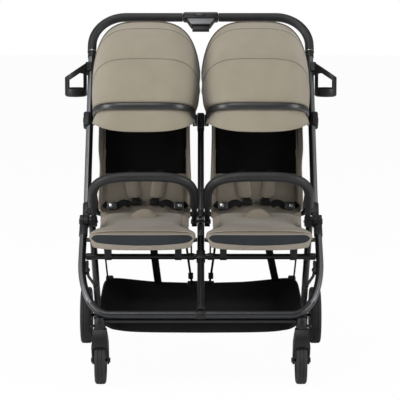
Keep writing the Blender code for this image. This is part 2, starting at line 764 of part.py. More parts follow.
def fold_housing():
    """Casing in the middle of the handle, with a skirt and a pocket for the fold lever."""
    frame = side_frame(HANDLE_CENTRE, PUSH_ANGLE)
    depth = HOUSING_HALF_DEPTH
    body = box("fold_housing", (-HOUSING_HALF, -0.0135, -depth), (HOUSING_HALF, 0.0142, depth),
               HOUSING_CORNER, 2, frame)
    outline = [(-0.046, -0.010), (0.046, -0.010), (0.030, -0.036), (-0.030, -0.036)]
    skirt = plate("skirt", outline, 2 * depth - 0.006, frame)
    body = union(body, skirt)
    pocket = box("pocket", (-LEVER_POCKET_HALF, -0.050, -0.0075),
                 (LEVER_POCKET_HALF, LEVER_TOP + LEVER_TRAVEL, 0.0075), turn=frame)
    recess = box("recess", (-0.015, -0.0045, depth - 0.0022), (0.015, 0.0055, depth + 0.01), turn=frame)
    return cut(body, pocket, recess)


def fold_lever():
    frame = side_frame(HANDLE_CENTRE, PUSH_ANGLE)
    half = LEVER_POCKET_HALF - 0.0006
    top = LEVER_TOP - 2 * FIT
    return box("fold_lever", (-half, -0.0515, -0.0070), (half, top, 0.0070), 0.0012, 1, frame)


BUTTON_TRAVEL = 0.006


def fold_button():
    frame = side_frame(HANDLE_CENTRE, PUSH_ANGLE)
    depth = HOUSING_HALF_DEPTH
    start = -0.0145
    end = 0.0145 - BUTTON_TRAVEL
    low, high = (start, -0.0040, depth - 0.0019), (end, 0.0050, depth + 0.0022)
    return box("fold_button", low, high, 0.0008, 1, frame)


def hinge_cap(side, sign):
    """Lower end of a side tube: an eye on the fold axis and a neck that meets the tube."""
    eye = disc("hinge_cap_" + side, FOLD_PIVOT, *ordered(sign, PUSH_DISC), HINGE_DISC_RADIUS - 0.001)
    neck = rod("neck", push_point(HINGE_NECK_START, sign * PUSH_TUBE_X),
               push_point(HINGE_REACH - FIT, sign * PUSH_TUBE_X), HINGE_NECK_RADIUS, 16)
    low, high = ordered(sign, PUSH_DISC)
    bridge = box("bridge", (low, 0.0, -0.010), (high, 0.034, 0.010), turn=side_frame(FOLD_PIVOT, PUSH_ANGLE))
    hole = hinge_hole("hole", *ordered(sign, (PUSH_DISC[0] - 0.01, PUSH_DISC[1] + 0.01)))
    return cut(union(eye, neck, bridge), hole)


CENTRE_BLOCK_HALF = 0.0108


def centre_post_upper():
    """Middle tube of the push frame, from its tongue on the fold axis to the block that carries the
    inner pivots of both canopies."""
    top = CANOPY_PIVOT_REACH - 0.034
    post = tube("centre_post_upper", [push_point(0.028, 0.0), push_point(top + 0.006, 0.0)],
                CENTRE_POST_RADIUS - 0.001)
    frame = side_frame(FOLD_PIVOT, PUSH_ANGLE)
    tongue = box("tongue", (-TONGUE, 0.0, -0.0105), (TONGUE, 0.034, 0.0105), turn=frame)
    eye = disc("eye", FOLD_PIVOT, -TONGUE, TONGUE, 0.0165)
    half = CENTRE_BLOCK_HALF
    head = box("head", (-half, top, -0.0150), (half, top + 0.054, 0.0150), 0.003, 1, frame)
    post = union(post, tongue, eye, head)
    return cut(post, hinge_hole("hole", -0.02, 0.02))


HOOP_ATTACH = 0.115


def back_hoop():
    """Bent tube behind the seats that carries the backrests. It leaves the side tubes, runs back
    and crosses at the backrest pivots."""
    y, z = BACK_PIVOT
    inner = PUSH_TUBE_X - PUSH_TUBE_RADIUS - FIT
    start = push_point(HOOP_ATTACH, 0.0)
    corner_x = inner - BACK_HOOP_RADIUS - 0.0006
    half_points = [(inner, start.y, start.z), (corner_x, start.y, start.z)]
    half_points += [(corner_x, y - 0.012, z + 0.034), (corner_x, y - 0.004, z + 0.014)]
    half_points += [(corner_x - 0.006, y, z + 0.003), (corner_x - 0.018, y, z)]
    points = [Vector(point) for point in half_points]
    points += [Vector((-point.x, point.y, point.z)) for point in reversed(points)]
    return tube("back_hoop", points, BACK_HOOP_RADIUS)


# Seats

def seat_board(side, sign):
    """Stiff board under a seat. Its ears reach the front leg and the middle post."""
    leg_y = leg_point(0.088, 0.0).y
    ear_low, ear_high = leg_y - 0.014, leg_y + 0.014
    outer_ear = LEG_X - LEG_RADIUS - FIT
    inner_ear = CENTRE_POST_RADIUS + FIT
    outer, inner = 0.3080, 0.0370
    front_outer, front_inner = 0.3280, 0.0180
    rear = SEAT_REAR_Y - 0.003
    outline = [
        (inner, rear), (outer, rear), (outer, ear_high), (outer_ear, ear_high), (outer_ear, ear_low),
        (front_outer, ear_low - 0.004), (front_outer - 0.006, SEAT_FRONT_Y + 0.004),
        (front_inner + 0.006, SEAT_FRONT_Y + 0.004), (front_inner, ear_low - 0.004), (inner_ear, ear_low),
        (inner_ear, ear_high), (inner, ear_high),
    ]
    outline = [(sign * x, y) for x, y in outline]
    frame = Matrix.Translation((0.0, 0.0, SEAT_BOARD_BOTTOM + SEAT_BOARD_THICKNESS / 2))
    board = plate("seat_board_" + side, outline, SEAT_BOARD_THICKNESS, frame)
    pivot_y, pivot_z = LEG_REST_PIVOT
    for offset in (-0.085, 0.085):
        middle = sign * (SEAT_CENTRE_X + offset)
        lug = box("lug", (middle - 0.007, pivot_y - 0.0035, SEAT_BOARD_BOTTOM),
                  (middle + 0.007, SEAT_FRONT_Y + 0.006, SEAT_BOARD_TOP))
        eye = box("eye", (middle - 0.007, pivot_y - 0.0058, SEAT_BOARD_BOTTOM),
                  (middle + 0.007, pivot_y + 0.0058, pivot_z + 0.0055))
        board = union(board, lug, eye)
        board = cut(board, disc("hole", LEG_REST_PIVOT, middle - 0.01, middle + 0.01, 0.0030 + FIT, 12))
    return union(board, *hanger_loops(sign))


HANGER_OFFSETS = (-0.106, 0.101)
HANGER_HALF_WIDTH = 0.0100
HANGER_FOOT = 0.024


def hanger_loops(sign):
    """Flat loops that hang a seat's front on the cross tube."""
    made = []
    middle = leg_point(SEAT_TUBE_REACH, 0.0)
    centre = (middle.y, middle.z)
    ring = SEAT_TUBE_RADIUS + FIT
    outer = ring + 0.0022
    for offset in HANGER_OFFSETS:
        x = sign * (SEAT_CENTRE_X + offset)
        strap = box("hanger", (x - HANGER_HALF_WIDTH, centre[0] - outer, centre[1]),
                    (x + HANGER_HALF_WIDTH, centre[0] + outer, SEAT_BOARD_BOTTOM + 0.003))
        foot = box("foot", (x - HANGER_HALF_WIDTH, centre[0] - outer, SEAT_BOARD_BOTTOM - 0.0022),
                   (x + HANGER_HALF_WIDTH, SEAT_FRONT_Y + HANGER_FOOT, SEAT_BOARD_BOTTOM + 0.003))
        loop = disc("loop", centre, x - HANGER_HALF_WIDTH, x + HANGER_HALF_WIDTH, outer, 16)
        bore = disc("bore", centre, x - 0.02, x + 0.02, ring, 16)
        made.append(cut(union(strap, foot, loop), bore))
    return made


def seat_half(v):
    """Half width of a seat pad at share v of its depth, from the front to the rear. It is pinched
    where the rear leg passes."""
    y = SEAT_FRONT_Y + (SEAT_REAR_Y - SEAT_FRONT_Y) * v
    narrow = SEAT_HALF_REAR
    if y > -0.098:
        return narrow
    share = min(1.0, (-0.098 - y) / 0.030)
    return narrow + (SEAT_HALF_FRONT - narrow) * share * share * (3 - 2 * share)


def seat_height(u, v):
    """Height of a seat pad's upper face: crowned, rounded down at its front, with a channel."""
    across = 1 - abs(2 * u - 1) ** 5
    along = 1 - max(0.0, (0.16 - v) / 0.16) ** 2 * 0.55
    rear = 1 - max(0.0, (v - 0.94) / 0.06) ** 2 * 0.4
    channel = 0.0022 * math.exp(-((v - 0.20) / 0.035) ** 2)
    crown = 0.62 + 0.38 * across
    return SEAT_PAD_THICKNESS * crown * along * rear - channel


def seat_pad(side, sign):
    def plan(u, v):
        return (2 * u - 1) * seat_half(v), SEAT_FRONT_Y + (SEAT_REAR_Y - SEAT_FRONT_Y) * v

    def top(u, v):
        x, y = plan(u, v)
        return x, y, seat_height(u, v)

    def bottom(u, v):
        x, y = plan(u, v)
        return x, y, 0.0

    frame = Matrix.Translation((sign * SEAT_CENTRE_X, 0.0, SEAT_BOARD_TOP + FIT))
    return pillow("seat_pad_" + side, 10, 12, top, bottom, frame, 0.002)


def strap_between(name, top, low, half_width):
    """Flat strap that hangs between two points with its face towards the front."""
    rings = []
    thickness = 0.0009
    steps = 5
    for index in range(steps + 1):
        share = index / steps
        point = top.lerp(low, share)
        sag = 0.010 * math.sin(math.pi * share)
        y, z = point.y - sag, point.z - sag * 0.4
        rings.append([(point.x - half_width, y - thickness, z), (point.x + half_width, y - thickness, z),
                      (point.x + half_width, y + thickness, z), (point.x - half_width, y + thickness, z)])
    return loft(name, rings)


def leg_rest(side, sign):
    """Short calf rest in front of the seat: a curved flap on a thin rod."""
    pivot_y, pivot_z = LEG_REST_PIVOT
    x = sign * SEAT_CENTRE_X
    half = SEAT_HALF_FRONT - 0.002
    top_z = pivot_z + LEG_REST_RISE
    rows, columns = 3, 8

    def front_y(u):
        return pivot_y - 0.0068 - 0.006 * (1 - (2 * u - 1) ** 2)

    def point(u, v, depth):
        drop = LEG_REST_DROP * v
        narrow = 1 - 0.10 * v * v
        lean = 0.42 * drop
        bulge = 0.0035 * math.sin(math.pi * v) * (1 - (2 * u - 1) ** 2)
        return (x + (2 * u - 1) * half * narrow, front_y(u) - lean - depth * (0.009 + bulge), top_z - drop)

    def top(u, v):
        return point(u, v, 1.0)

    def bottom(u, v):
        return point(u, v, 0.0)

    flap = pillow("leg_rest_" + side, columns, rows, top, bottom, Matrix.Identity(4))
    axis = disc("rod", LEG_REST_PIVOT, x - 0.104, x + 0.104, 0.0030, 10)
    webs = []
    for offset in (-0.101, 0.0, 0.101):
        webs.append(box("web", (x + offset - 0.004, pivot_y - 0.0145, pivot_z - 0.0035),
                        (x + offset + 0.004, pivot_y + 0.0020, pivot_z + 0.0035)))
    return union(flap, axis, *webs)


def back_height(u, v):
    """Thickness of a backrest cushion: side wings, a softer middle and a crowned head end."""
    edge = abs(2 * u - 1)
    wing = 0.022 * max(0.0, (edge - 0.62) / 0.38) ** 1.5 * min(1.0, max(0.0, (v - 0.12) / 0.30))
    body = 0.022 * (1 - 0.35 * edge ** 6)
    ends = min(1.0, 0.45 + 4.0 * v) * min(1.0, 0.45 + 4.0 * (1 - v))
    channel = 0.0020 * math.exp(-((v - 0.30) / 0.03) ** 2)
    return (body + wing) * ends - channel


def back_frame(sign):
    """Axes of a backrest: a across, b up the board from the pivot and the height forwards."""
    a = math.radians(BACKREST_ANGLE)
    up = Vector((0, math.cos(a), math.sin(a)))
    forward = Vector((0, -math.sin(a), math.cos(a)))
    frame = Matrix.Identity(4)
    for row in range(3):
        frame[row][0] = (1, 0, 0)[row]
        frame[row][1] = up[row]
        frame[row][2] = forward[row]
    frame.translation = Vector((sign * BACKREST_CENTRE_X, BACK_PIVOT[0], BACK_PIVOT[1]))
    return frame


BACK_START = 0.019
KNUCKLE_RADIUS = 0.0122


def backrest(side, sign):
    """Board with knuckles round the hoop, and the cushion in front of it."""
    half = BACKREST_HALF_WIDTH
    frame = back_frame(sign)
    board_half, depth = half - BACK_BOARD_INSET, BACK_BOARD_THICKNESS / 2
    board = box("backrest_" + side, (-board_half, 0.0, -depth), (board_half, BACKREST_LENGTH - 0.010, depth),
                0.0015, 1, frame)
    x = sign * BACKREST_CENTRE_X
    board = union(board, disc("knuckle", BACK_PIVOT, x - 0.115, x + 0.115, KNUCKLE_RADIUS, 20))
    hole_radius = BACK_HOOP_RADIUS + PIN_CLEARANCE
    board = cut(board, disc("hole", BACK_PIVOT, x - 0.2, x + 0.2, hole_radius, 20))

    def plan(u, v):
        pinch = 1 - 0.05 * math.sin(math.pi * v) ** 2
        return (2 * u - 1) * half * pinch, BACK_START + (BACKREST_LENGTH - BACK_START) * v

    def top(u, v):
        a, b = plan(u, v)
        return a, b, back_height(u, v)

    def bottom(u, v):
        a, b = plan(u, v)
        return a, b, 0.0

    cushion_frame = frame @ Matrix.Translation((0, 0, BACK_BOARD_THICKNESS / 2 - FIT))
    cushion = pillow("cushion", 10, 10, top, bottom, cushion_frame, 0.0015)
    return union(board, cushion)


def surface_strap(name, route, half_width, thickness, height, frame, base=0.0006, across=2):
    """Strip that lies base above a cushion's face. route is a list of (a, b) points and
    height(a, b) is the cushion's face."""
    rings = []
    for index, (a, b) in enumerate(route):
        previous = Vector(route[max(index - 1, 0)])
        following = Vector(route[min(index + 1, len(route) - 1)])
        run = (following - previous).normalized()
        side = Vector((-run.y, run.x))
        lower, upper = [], []
        for step in range(across + 1):
            share = 2 * step / across - 1
            offset = side * half_width * share
            point = (a + offset.x, b + offset.y)
            floor = height(*point) + base
            lower.append((point[0], point[1], floor))
            upper.append((point[0], point[1], floor + thickness * (1 - 0.35 * share ** 4)))
        rings.append(lower + upper[::-1])
    obj = loft(name, rings)
    obj.data.transform(frame)
    return obj


def line(start, end, count):
    return [(start[0] + (end[0] - start[0]) * i / count, start[1] + (end[1] - start[1]) * i / count)
            for i in range(count + 1)]


def harness(side, sign):
    """Shoulder straps with their pads, sewn to the waist belt, on the face of a backrest."""
    frame = back_frame(sign) @ Matrix.Translation((0, 0, BACK_BOARD_THICKNESS / 2 + FIT))
    half = BACKREST_HALF_WIDTH

    def height(a, b):
        v = min(1.0, max(0.0, (b - BACK_START) / (BACKREST_LENGTH - BACK_START)))
        pinch = 1 - 0.05 * math.sin(math.pi * v) ** 2
        u = min(1.0, max(0.0, (a / (half * pinch) + 1) / 2))
        return back_height(u, v) + 0.0003

    belt = surface_strap("harness_" + side, line((-0.125, 0.046), (0.125, 0.046), 6), 0.0115, 0.0032,
                         height, frame, 0.0001)
    made = []
    for hand in (-1, 1):
        pad_line = line((hand * 0.026, 0.062), (hand * 0.046, 0.190), 4)
        strap_line = line((hand * 0.0245, 0.050), (hand * 0.056, 0.300), 6)
        made.append(surface_strap("pad", pad_line, 0.0165, 0.0080, height, frame, 0.0001))
        made.append(surface_strap("strap", strap_line, 0.0105, 0.0030, height, frame, 0.0009))
    return union(belt, *made)


BUCKLE_Y = 0.046


def buckle(side, sign):
    """Crotch pad that lies on the seat, with the buckle on its upper end. The buckle has a pocket
    for its button."""
    frame = Matrix.Translation((sign * SEAT_CENTRE_X, 0.0, SEAT_BOARD_TOP + FIT))

    def height(a, b):
        v = (b - SEAT_FRONT_Y) / (SEAT_REAR_Y - SEAT_FRONT_Y)
        u = (a / seat_half(v) + 1) / 2
        return seat_height(u, v)

    pad = surface_strap("buckle_" + side, line((0.0, -0.062), (0.0, BUCKLE_Y - 0.010), 6), 0.0260, 0.0080,
                        height, frame, 0.0006, 4)
    base = SEAT_BOARD_TOP + FIT + height(0.0, BUCKLE_Y) + 0.0022
    x = sign * SEAT_CENTRE_X
    low, high = (x - 0.020, BUCKLE_Y - 0.026, base), (x + 0.020, BUCKLE_Y + 0.020, base + 0.014)
    shell = box("shell", low, high, 0.004, 2)
    pocket = turned("pocket", [(0.0, 0.020), (0.0100, 0.020), (0.0100, 0.0), (0.0, 0.0)],
                    (x, BUCKLE_Y - 0.002, base + 0.008), (0, 0, 1), 16)
    shell = cut(shell, pocket)
    return union(pad, shell), base


def buckle_button(side, sign, base):
    x = sign * SEAT_CENTRE_X
    profile = [(0.0, 0.0072), (0.0080, 0.0072), (0.0094, 0.0060), (0.0094, 0.0024), (0.0, 0.0024)]
    return turned("buckle_button_" + side, profile, (x, BUCKLE_Y - 0.002, base + 0.008), (0, 0, 1), 16)


# Bumper bars

def bumper_point(reach, x):
    return at(FOLD_PIVOT, BUMPER_ANGLE, reach, x)


def bumper_socket(name, sign, layers, x):
    """Eye on the fold axis with a round stub that one end of a bumper bar meets."""
    eye = disc(name, FOLD_PIVOT, *ordered(sign, layers), 0.0155)
    neck = rod("neck", bumper_point(0.0125, sign * x), bumper_point(BUMPER_SOCKET_REACH - FIT, sign * x),
               BUMPER_END_RADIUS, 14)
    low, high = layers
    inside = disc("inside", FOLD_PIVOT, *ordered(sign, (low - 0.03, low)), 0.0205)
    outside = disc("outside", FOLD_PIVOT, *ordered(sign, (high, high + 0.03)), 0.0205)
    hole = hinge_hole("hole", *ordered(sign, (low - 0.02, high + 0.02)))
    return cut(union(eye, neck), inside, outside, hole)


def bumper_bar(side, sign):
    """Bent bar with a padded grip. Its thinner ends meet the sockets."""
    base = 0.100
    points, radii = [], []
    end_share = BUMPER_END_RADIUS / BUMPER_GRIP_RADIUS
    profile = arch(BUMPER_HALF_SPAN, BUMPER_REACH - base, BUMPER_SHAPE, 13)
    leads = [(BUMPER_SOCKET_REACH, end_share), (0.0795, end_share), (0.0805, 1.0)]
    for reach, radius in leads:
        points.append(bumper_point(reach, sign * (BUMPER_CENTRE_X + BUMPER_HALF_SPAN)))
        radii.append(radius)
    for x, rise in profile:
        points.append(bumper_point(base + rise, sign * (BUMPER_CENTRE_X + x)))
        radii.append(1.0)
    for reach, radius in reversed(leads):
        points.append(bumper_point(reach, sign * (BUMPER_CENTRE_X - BUMPER_HALF_SPAN)))
        radii.append(radius)
    return tube("bumper_bar_" + side, points, BUMPER_GRIP_RADIUS, radii=radii)


# Canopies

HUB_RADIUS = 0.0135
OUTER_HUB = (0.3160, PUSH_TUBE_X - PUSH_TUBE_RADIUS - FIT)
INNER_HUB = (CENTRE_BLOCK_HALF + FIT, 0.0250)


def canopy_bow(side, sign):
    """Flat front bow with a hub at each end."""
    half_width = CANOPY_HALF_WIDTH - BOW_THICKNESS / 2
    profile = arch(half_width, CANOPY_RADIUS, CANOPY_FRONT_SHAPE, CANOPY_POINTS)
    half = BOW_HEIGHT / 2
    rings = []
    for index, (x, reach) in enumerate(profile):
        before, after = profile[max(index - 1, 0)], profile[min(index + 1, len(profile) - 1)]
        run = Vector((after[0] - before[0], after[1] - before[1])).normalized()
        out = Vector((run.y, -run.x)) * (BOW_THICKNESS / 2)
        ring = []
        for side_share, height_share in ((1, 0.55), (0.6, 1), (-0.6, 1), (-1, 0.55), (-1, -0.55), (-0.6, -1),
                                         (0.6, -1), (1, -0.55)):
            px = CANOPY_CENTRE_X + x + out.x * side_share
            pr = reach + out.y * side_share
            ring.append(at(CANOPY_PIVOT, CANOPY_FRONT_ANGLE, pr, sign * px, half * height_share))
        rings.append(ring)
    bow = loft("canopy_bow_" + side, rings)
    outer = disc("hub", CANOPY_PIVOT, *ordered(sign, OUTER_HUB), HUB_RADIUS, 16)
    inner = disc("hub", CANOPY_PIVOT, *ordered(sign, INNER_HUB), HUB_RADIUS, 16)
    return union(bow, outer, inner)


CANOPY_SIDE_REACH = 0.080


def canopy(side, sign):
    """Hood cloth from its rear edge to the front bow, under the bow, and on as the visor. The part
    behind the bow fans out from the pivots, and the rest lies square to the bow."""
    over = 0.002 + CANOPY_CLOTH
    under = -(BOW_THICKNESS / 2 + 0.0008)
    edge_gap = BOW_HEIGHT / 2 + 0.0010
    stations = []
    ribs = (CANOPY_REAR_ANGLE,) + CANOPY_SEAM_ANGLES + (CANOPY_FRONT_ANGLE - 4.0,)
    for low, high in zip(ribs, ribs[1:]):
        for step in range(3):
            dip = CANOPY_DIP * math.sin(math.pi * step / 3) ** 2
            stations.append((low + (high - low) * step / 3, over - dip, 0.0, 0.0))
    stations.append((CANOPY_FRONT_ANGLE, over, -edge_gap - 0.0005, 0.0))
    stations.append((CANOPY_FRONT_ANGLE, under, -edge_gap, 0.0))
    for share in (0.0, 0.5, 1.0):
        stations.append((CANOPY_FRONT_ANGLE, under + 0.010 * share, edge_gap, VISOR_LENGTH * share))
    rows = []
    for angle, rise, lift, drop in stations:
        share = (angle - CANOPY_REAR_ANGLE) / (CANOPY_FRONT_ANGLE - CANOPY_REAR_ANGLE)
        bulge = CANOPY_BULGE * math.sin(math.pi * share)
        half_width = CANOPY_HALF_WIDTH - BOW_THICKNESS / 2 + min(rise, 0.003) + bulge
        shape = CANOPY_REAR_SHAPE + (CANOPY_FRONT_SHAPE - CANOPY_REAR_SHAPE) * share ** 1.5
        profile = arch(half_width, CANOPY_RADIUS + rise, shape, CANOPY_POINTS)
        row = []
        for x, reach in profile:
            edge = math.sqrt(max(0.0, 1 - abs(x / CANOPY_HALF_WIDTH) ** 3))
            fall = lift + drop * (0.06 + 0.94 * edge)
            reach = max(reach, CANOPY_SIDE_REACH)
            row.append(at(CANOPY_PIVOT, angle, reach, sign * (CANOPY_CENTRE_X + x), fall))
        rows.append(row if sign > 0 else row[::-1])
    return sheet("canopy_" + side, rows, CANOPY_CLOTH)


# Basket

def basket_rim(u, v):
    """Point of the basket's rim. u runs from -1 to 1 across, v from 0 at the front to 1 behind."""
    x = BASKET_HALF_WIDTH * u
    y = BASKET_FRONT_Y + (BASKET_REAR_Y - BASKET_FRONT_Y) * v
    sag = 0.028 * v * (1 - abs(u) ** 2.5)
    z = BASKET_FRONT_RIM_Z + (BASKET_REAR_RIM_Z - BASKET_FRONT_RIM_Z) * v - sag
    return Vector((x, y, z))


def basket():
    """Shallow cloth tub. Its walls curve into a floor that sags a little."""
    def outline(count):
        points = []
        for index in range(count):
            a = 2 * math.pi * index / count
            c, s = math.cos(a), math.sin(a)
            u = math.copysign(abs(c) ** (2 / BASKET_SHAPE), c)
            w = math.copysign(abs(s) ** (2 / BASKET_SHAPE), s)
            points.append((u, (w + 1) / 2))
        return points

    rim = outline(24)
    levels = ((0.0, 1.0), (0.5, 0.98), (0.88, 0.93), (1.0, 0.84), (1.0, 0.45))
    bm = bmesh.new()
    loops = []
    for depth, size in levels:
        loop = []
        for u, v in rim:
            edge = basket_rim(u, v)
            middle = Vector((0.0, (BASKET_FRONT_Y + BASKET_REAR_Y) / 2, 0.0))
            x = middle.x + (edge.x - middle.x) * size
            y = middle.y + (edge.y - middle.y) * size
            z = edge.z + (BASKET_FLOOR_Z - edge.z) * depth
            loop.append(bm.verts.new((x, y, z)))
        loops.append(loop)
    count = len(rim)
    for upper, lower in zip(loops, loops[1:]):
        for index in range(count):
            following = (index + 1) % count
            bm.faces.new((upper[index], upper[following], lower[following], lower[index]))
    bm.faces.new(loops[-1])
    bmesh.ops.recalc_face_normals(bm, faces=bm.faces)
    mesh = bpy.data.meshes.new("basket")
    bm.to_mesh(mesh)
    bm.free()
    obj = new_object("basket", mesh)
    wall = obj.modifiers.new("wall", "SOLIDIFY")
    wall.thickness = BASKET_WALL
    wall.offset = -1.0
    return union(baked(obj), *basket_straps())


def basket_straps():
    """Webbing that holds the basket's rear edge up to the seat boards."""
    made = []
    for side, sign in SIDES:
        for top_x, bottom_x, width in ((0.176, 0.150, 0.0115), (0.296, 0.2880, 0.0060)):
            top = Vector((sign * top_x, SEAT_REAR_Y - 0.012, SEAT_BOARD_BOTTOM - FIT))
            u = bottom_x / BASKET_HALF_WIDTH
            w = (1 - u ** BASKET_SHAPE) ** (1 / BASKET_SHAPE)
            rim = basket_rim(u, (w + 1) / 2)
            low = Vector((sign * bottom_x, rim.y - 0.0015, rim.z - 0.004))
            made.append(strap_between("strap", top, low, width))
    return made


# Cup holders

def cup_holder(side, sign):
    """Cup with a slanted rim and two windows, on a clip round the side tube."""
    tube_point = push_point(CUP_REACH, 0.0)
    centre = Vector((sign * CUP_X, tube_point.y - CUP_CLIP_HALF, tube_point.z - CUP_DROP))
    outer, inner = CUP_OUTER_RADIUS, CUP_OUTER_RADIUS - CUP_WALL
    height = 0.104
    profile = [(0.0, 0.0), (outer - 0.004, 0.0), (outer, 0.004), (outer, height), (inner, height),
               (inner, 0.003), (0.0, 0.003)]
    cup = turned("cup_holder_" + side, profile, centre, (0, 0, 1), 20)
    slope = math.radians(34)
    slant = Matrix.Translation(centre + Vector((0, 0, 0.0825))) @ Matrix.Rotation(sign * slope, 4, "Y")
    cup = cut(cup, box("slant", (-0.09, -0.09, 0.0), (0.09, 0.09, 0.09), turn=slant))
    window = [(-0.0215, 0.026), (0.0245, 0.026), (0.0245, 0.072), (0.0145, 0.0745), (-0.0215, 0.0505)]
    outline = [(-sign * a, b) for a, b in window]
    frame = Matrix(((1, 0, 0, centre.x), (0, 0, -1, centre.y), (0, 1, 0, centre.z), (0, 0, 0, 1)))
    cup = cut(cup, plate("window", outline, 0.09, frame))
    low, high = ordered(sign, (PUSH_TUBE_X - 0.001, CUP_X - CUP_OUTER_RADIUS + 0.0045))
    turn = side_frame(FOLD_PIVOT, PUSH_ANGLE)
    bottom, top = CUP_REACH - CUP_CLIP_HALF, CUP_REACH + CUP_CLIP_HALF
    clip = box("clip", (low, bottom, -0.0150), (high, top, 0.0150), 0.002, 1, turn)
    inside = rod("inside", centre + Vector((0, 0, 0.01)), centre + Vector((0, 0, 0.2)), inner, 20)
    clip = cut(clip, inside)
    cup = union(cup, clip)
    start, end = push_point(bottom - 0.12, sign * PUSH_TUBE_X), push_point(top + 0.12, sign * PUSH_TUBE_X)
    groove = rod("groove", start, end, PUSH_TUBE_RADIUS + FIT, 14)
    return cut(cup, groove)


# Assembly

SIDES = (("left", -1), ("right", 1))
PARENTS = {
    "rear_frame": None, "rear_wheel_left": "rear_frame", "rear_wheel_right": "rear_frame",
    "brake_pedal": "rear_frame", "caster_left": None, "caster_right": None,
    "front_wheel_left": "caster_left", "front_wheel_right": "caster_right", "push_frame": None,
    "fold_lever": "push_frame", "fold_button": "push_frame", "canopy_left": "push_frame",
    "canopy_right": "push_frame", "backrest_left": "push_frame", "backrest_right": "push_frame",
    "leg_rest_left": None, "leg_rest_right": None, "bumper_sockets_left": None,
    "bumper_sockets_right": None, "bumper_left": "bumper_sockets_left",
    "bumper_right": "bumper_sockets_right", "buckle_button_left": None, "buckle_button_right": None,
}
axes = {}


def axis_empty(body, location):
    empty = bpy.data.objects.new("axis_" + body, None)
    parts.objects.link(empty)
    parent = PARENTS[body]
    origin = Vector(location)
    if parent:
        empty.parent = axes[parent][0]
        empty.location = origin - axes[parent][1]
    else:
        empty.location = origin
    axes[body] = (empty, origin)


def place(obj, key, body=None):
    """Gives an object its colour and smooth faces, and hangs it on its body's axis."""
    obj.data.materials.clear()
    obj.data.materials.append(material(key))
    obj.data.shade_smooth()
    obj.data.set_sharp_from_angle(angle=math.radians(35))
    if body:
        empty, origin = axes[body]
        obj.data.transform(Matrix.Translation(-origin))
        obj.parent = empty


def build():
    pivot = (0.0, *FOLD_PIVOT)
    handle = (0.0, *HANDLE_CENTRE)
    axis_empty("rear_frame", pivot)
    axis_empty("brake_pedal", (0.0, *REAR_AXLE))
    axis_empty("push_frame", pivot)
    axis_empty("fold_lever", handle)
    axis_empty("fold_button", handle)
    for side, sign in SIDES:
        axis_empty("rear_wheel_" + side, (sign * REAR_WHEEL_X, *REAR_AXLE))
        axis_empty("caster_" + side, (sign * CASTER_X, CASTER_STEM_Y, HOUSING_BOTTOM))
        axis_empty("front_wheel_" + side, (sign * CASTER_X, *FRONT_AXLE))
        axis_empty("canopy_" + side, (sign * CANOPY_CENTRE_X, *CANOPY_PIVOT))
        axis_empty("backrest_" + side, (sign * BACKREST_CENTRE_X, *BACK_PIVOT))
        axis_empty("leg_rest_" + side, (sign * SEAT_CENTRE_X, *LEG_REST_PIVOT))
        axis_empty("bumper_sockets_" + side, (sign * BUMPER_CENTRE_X, *FOLD_PIVOT))
        axis_empty("bumper_" + side, (sign * BUMPER_CENTRE_X, *FOLD_PIVOT))
        axis_empty("buckle_button_" + side, (sign * SEAT_CENTRE_X, BUCKLE_Y, SEAT_BOARD_TOP))

    place(front_crossbar(), "frame")
    place(basket_rail(), "frame")
    place(centre_post_lower(), "frame")
    place(seat_cross_tube(), "frame")
    place(basket(), "mesh")
    place(rear_axle(), "frame", "rear_frame")
    place(brake_pedal(), "joint", "brake_pedal")
    place(fold_housing(), "trim", "push_frame")
    place(fold_lever(), "joint", "fold_lever")
    place(fold_button(), "trim", "fold_button")
    place(centre_post_upper(), "frame", "push_frame")
    place(back_hoop(), "frame", "push_frame")
    for (side, sign), (tyre, rim) in zip(SIDES, rear_wheels()):
        place(tyre, "tyre", "rear_wheel_" + side)
        place(rim, "joint", "rear_wheel_" + side)
    for (side, sign), (tyre, rim) in zip(SIDES, front_wheels()):
        place(tyre, "tyre", "front_wheel_" + side)
        place(rim, "joint", "front_wheel_" + side)
    for side, sign in SIDES:
        place(front_leg(side, sign), "frame")
        place(rear_leg(side, sign), "frame", "rear_frame")
        place(caster_housing(side, sign), "joint")
        place(side_tube(side, sign), "frame", "push_frame")
        place(hinge_cap(side, sign), "joint", "push_frame")
        place(handle_grip(side, sign), "grip", "push_frame")
        place(cup_holder(side, sign), "joint", "push_frame")
        place(caster_fork(side, sign), "joint", "caster_" + side)
        place(seat_board(side, sign), "joint")
        place(seat_pad(side, sign), "taupe")
        buckle_object, base = buckle(side, sign)
        place(buckle_object, "webbing")
        place(buckle_button(side, sign, base), "joint", "buckle_button_" + side)
        place(leg_rest(side, sign), "mesh", "leg_rest_" + side)
        place(backrest(side, sign), "taupe", "backrest_" + side)
        place(harness(side, sign), "taupe", "backrest_" + side)
        for end, layers, x in (("outer", SOCKET_DISC, BUMPER_CENTRE_X + BUMPER_HALF_SPAN),
                               ("inner", CENTRE_SOCKET_DISC, BUMPER_CENTRE_X - BUMPER_HALF_SPAN)):
            name = f"bumper_socket_{end}_{side}"
            place(bumper_socket(name, sign, layers, x), "joint", "bumper_sockets_" + side)
        place(bumper_bar(side, sign), "grip", "bumper_" + side)
        place(canopy_bow(side, sign), "gloss", "canopy_" + side)
        place(canopy(side, sign), "taupe", "canopy_" + side)


clear_scene()
parts = make_collection()
build()
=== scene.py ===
"""Dressed model of a side by side twin stroller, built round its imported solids.

Metres, +Z up. The stroller faces -Y. Side-view points are (y, z) pairs, and side-view angles are
degrees from +Y towards +Z, as in the solids. A piece is black plastic and rides on the chassis
unless its call says otherwise.
"""
import math
import bmesh
import bpy
from mathutils import Matrix, Vector


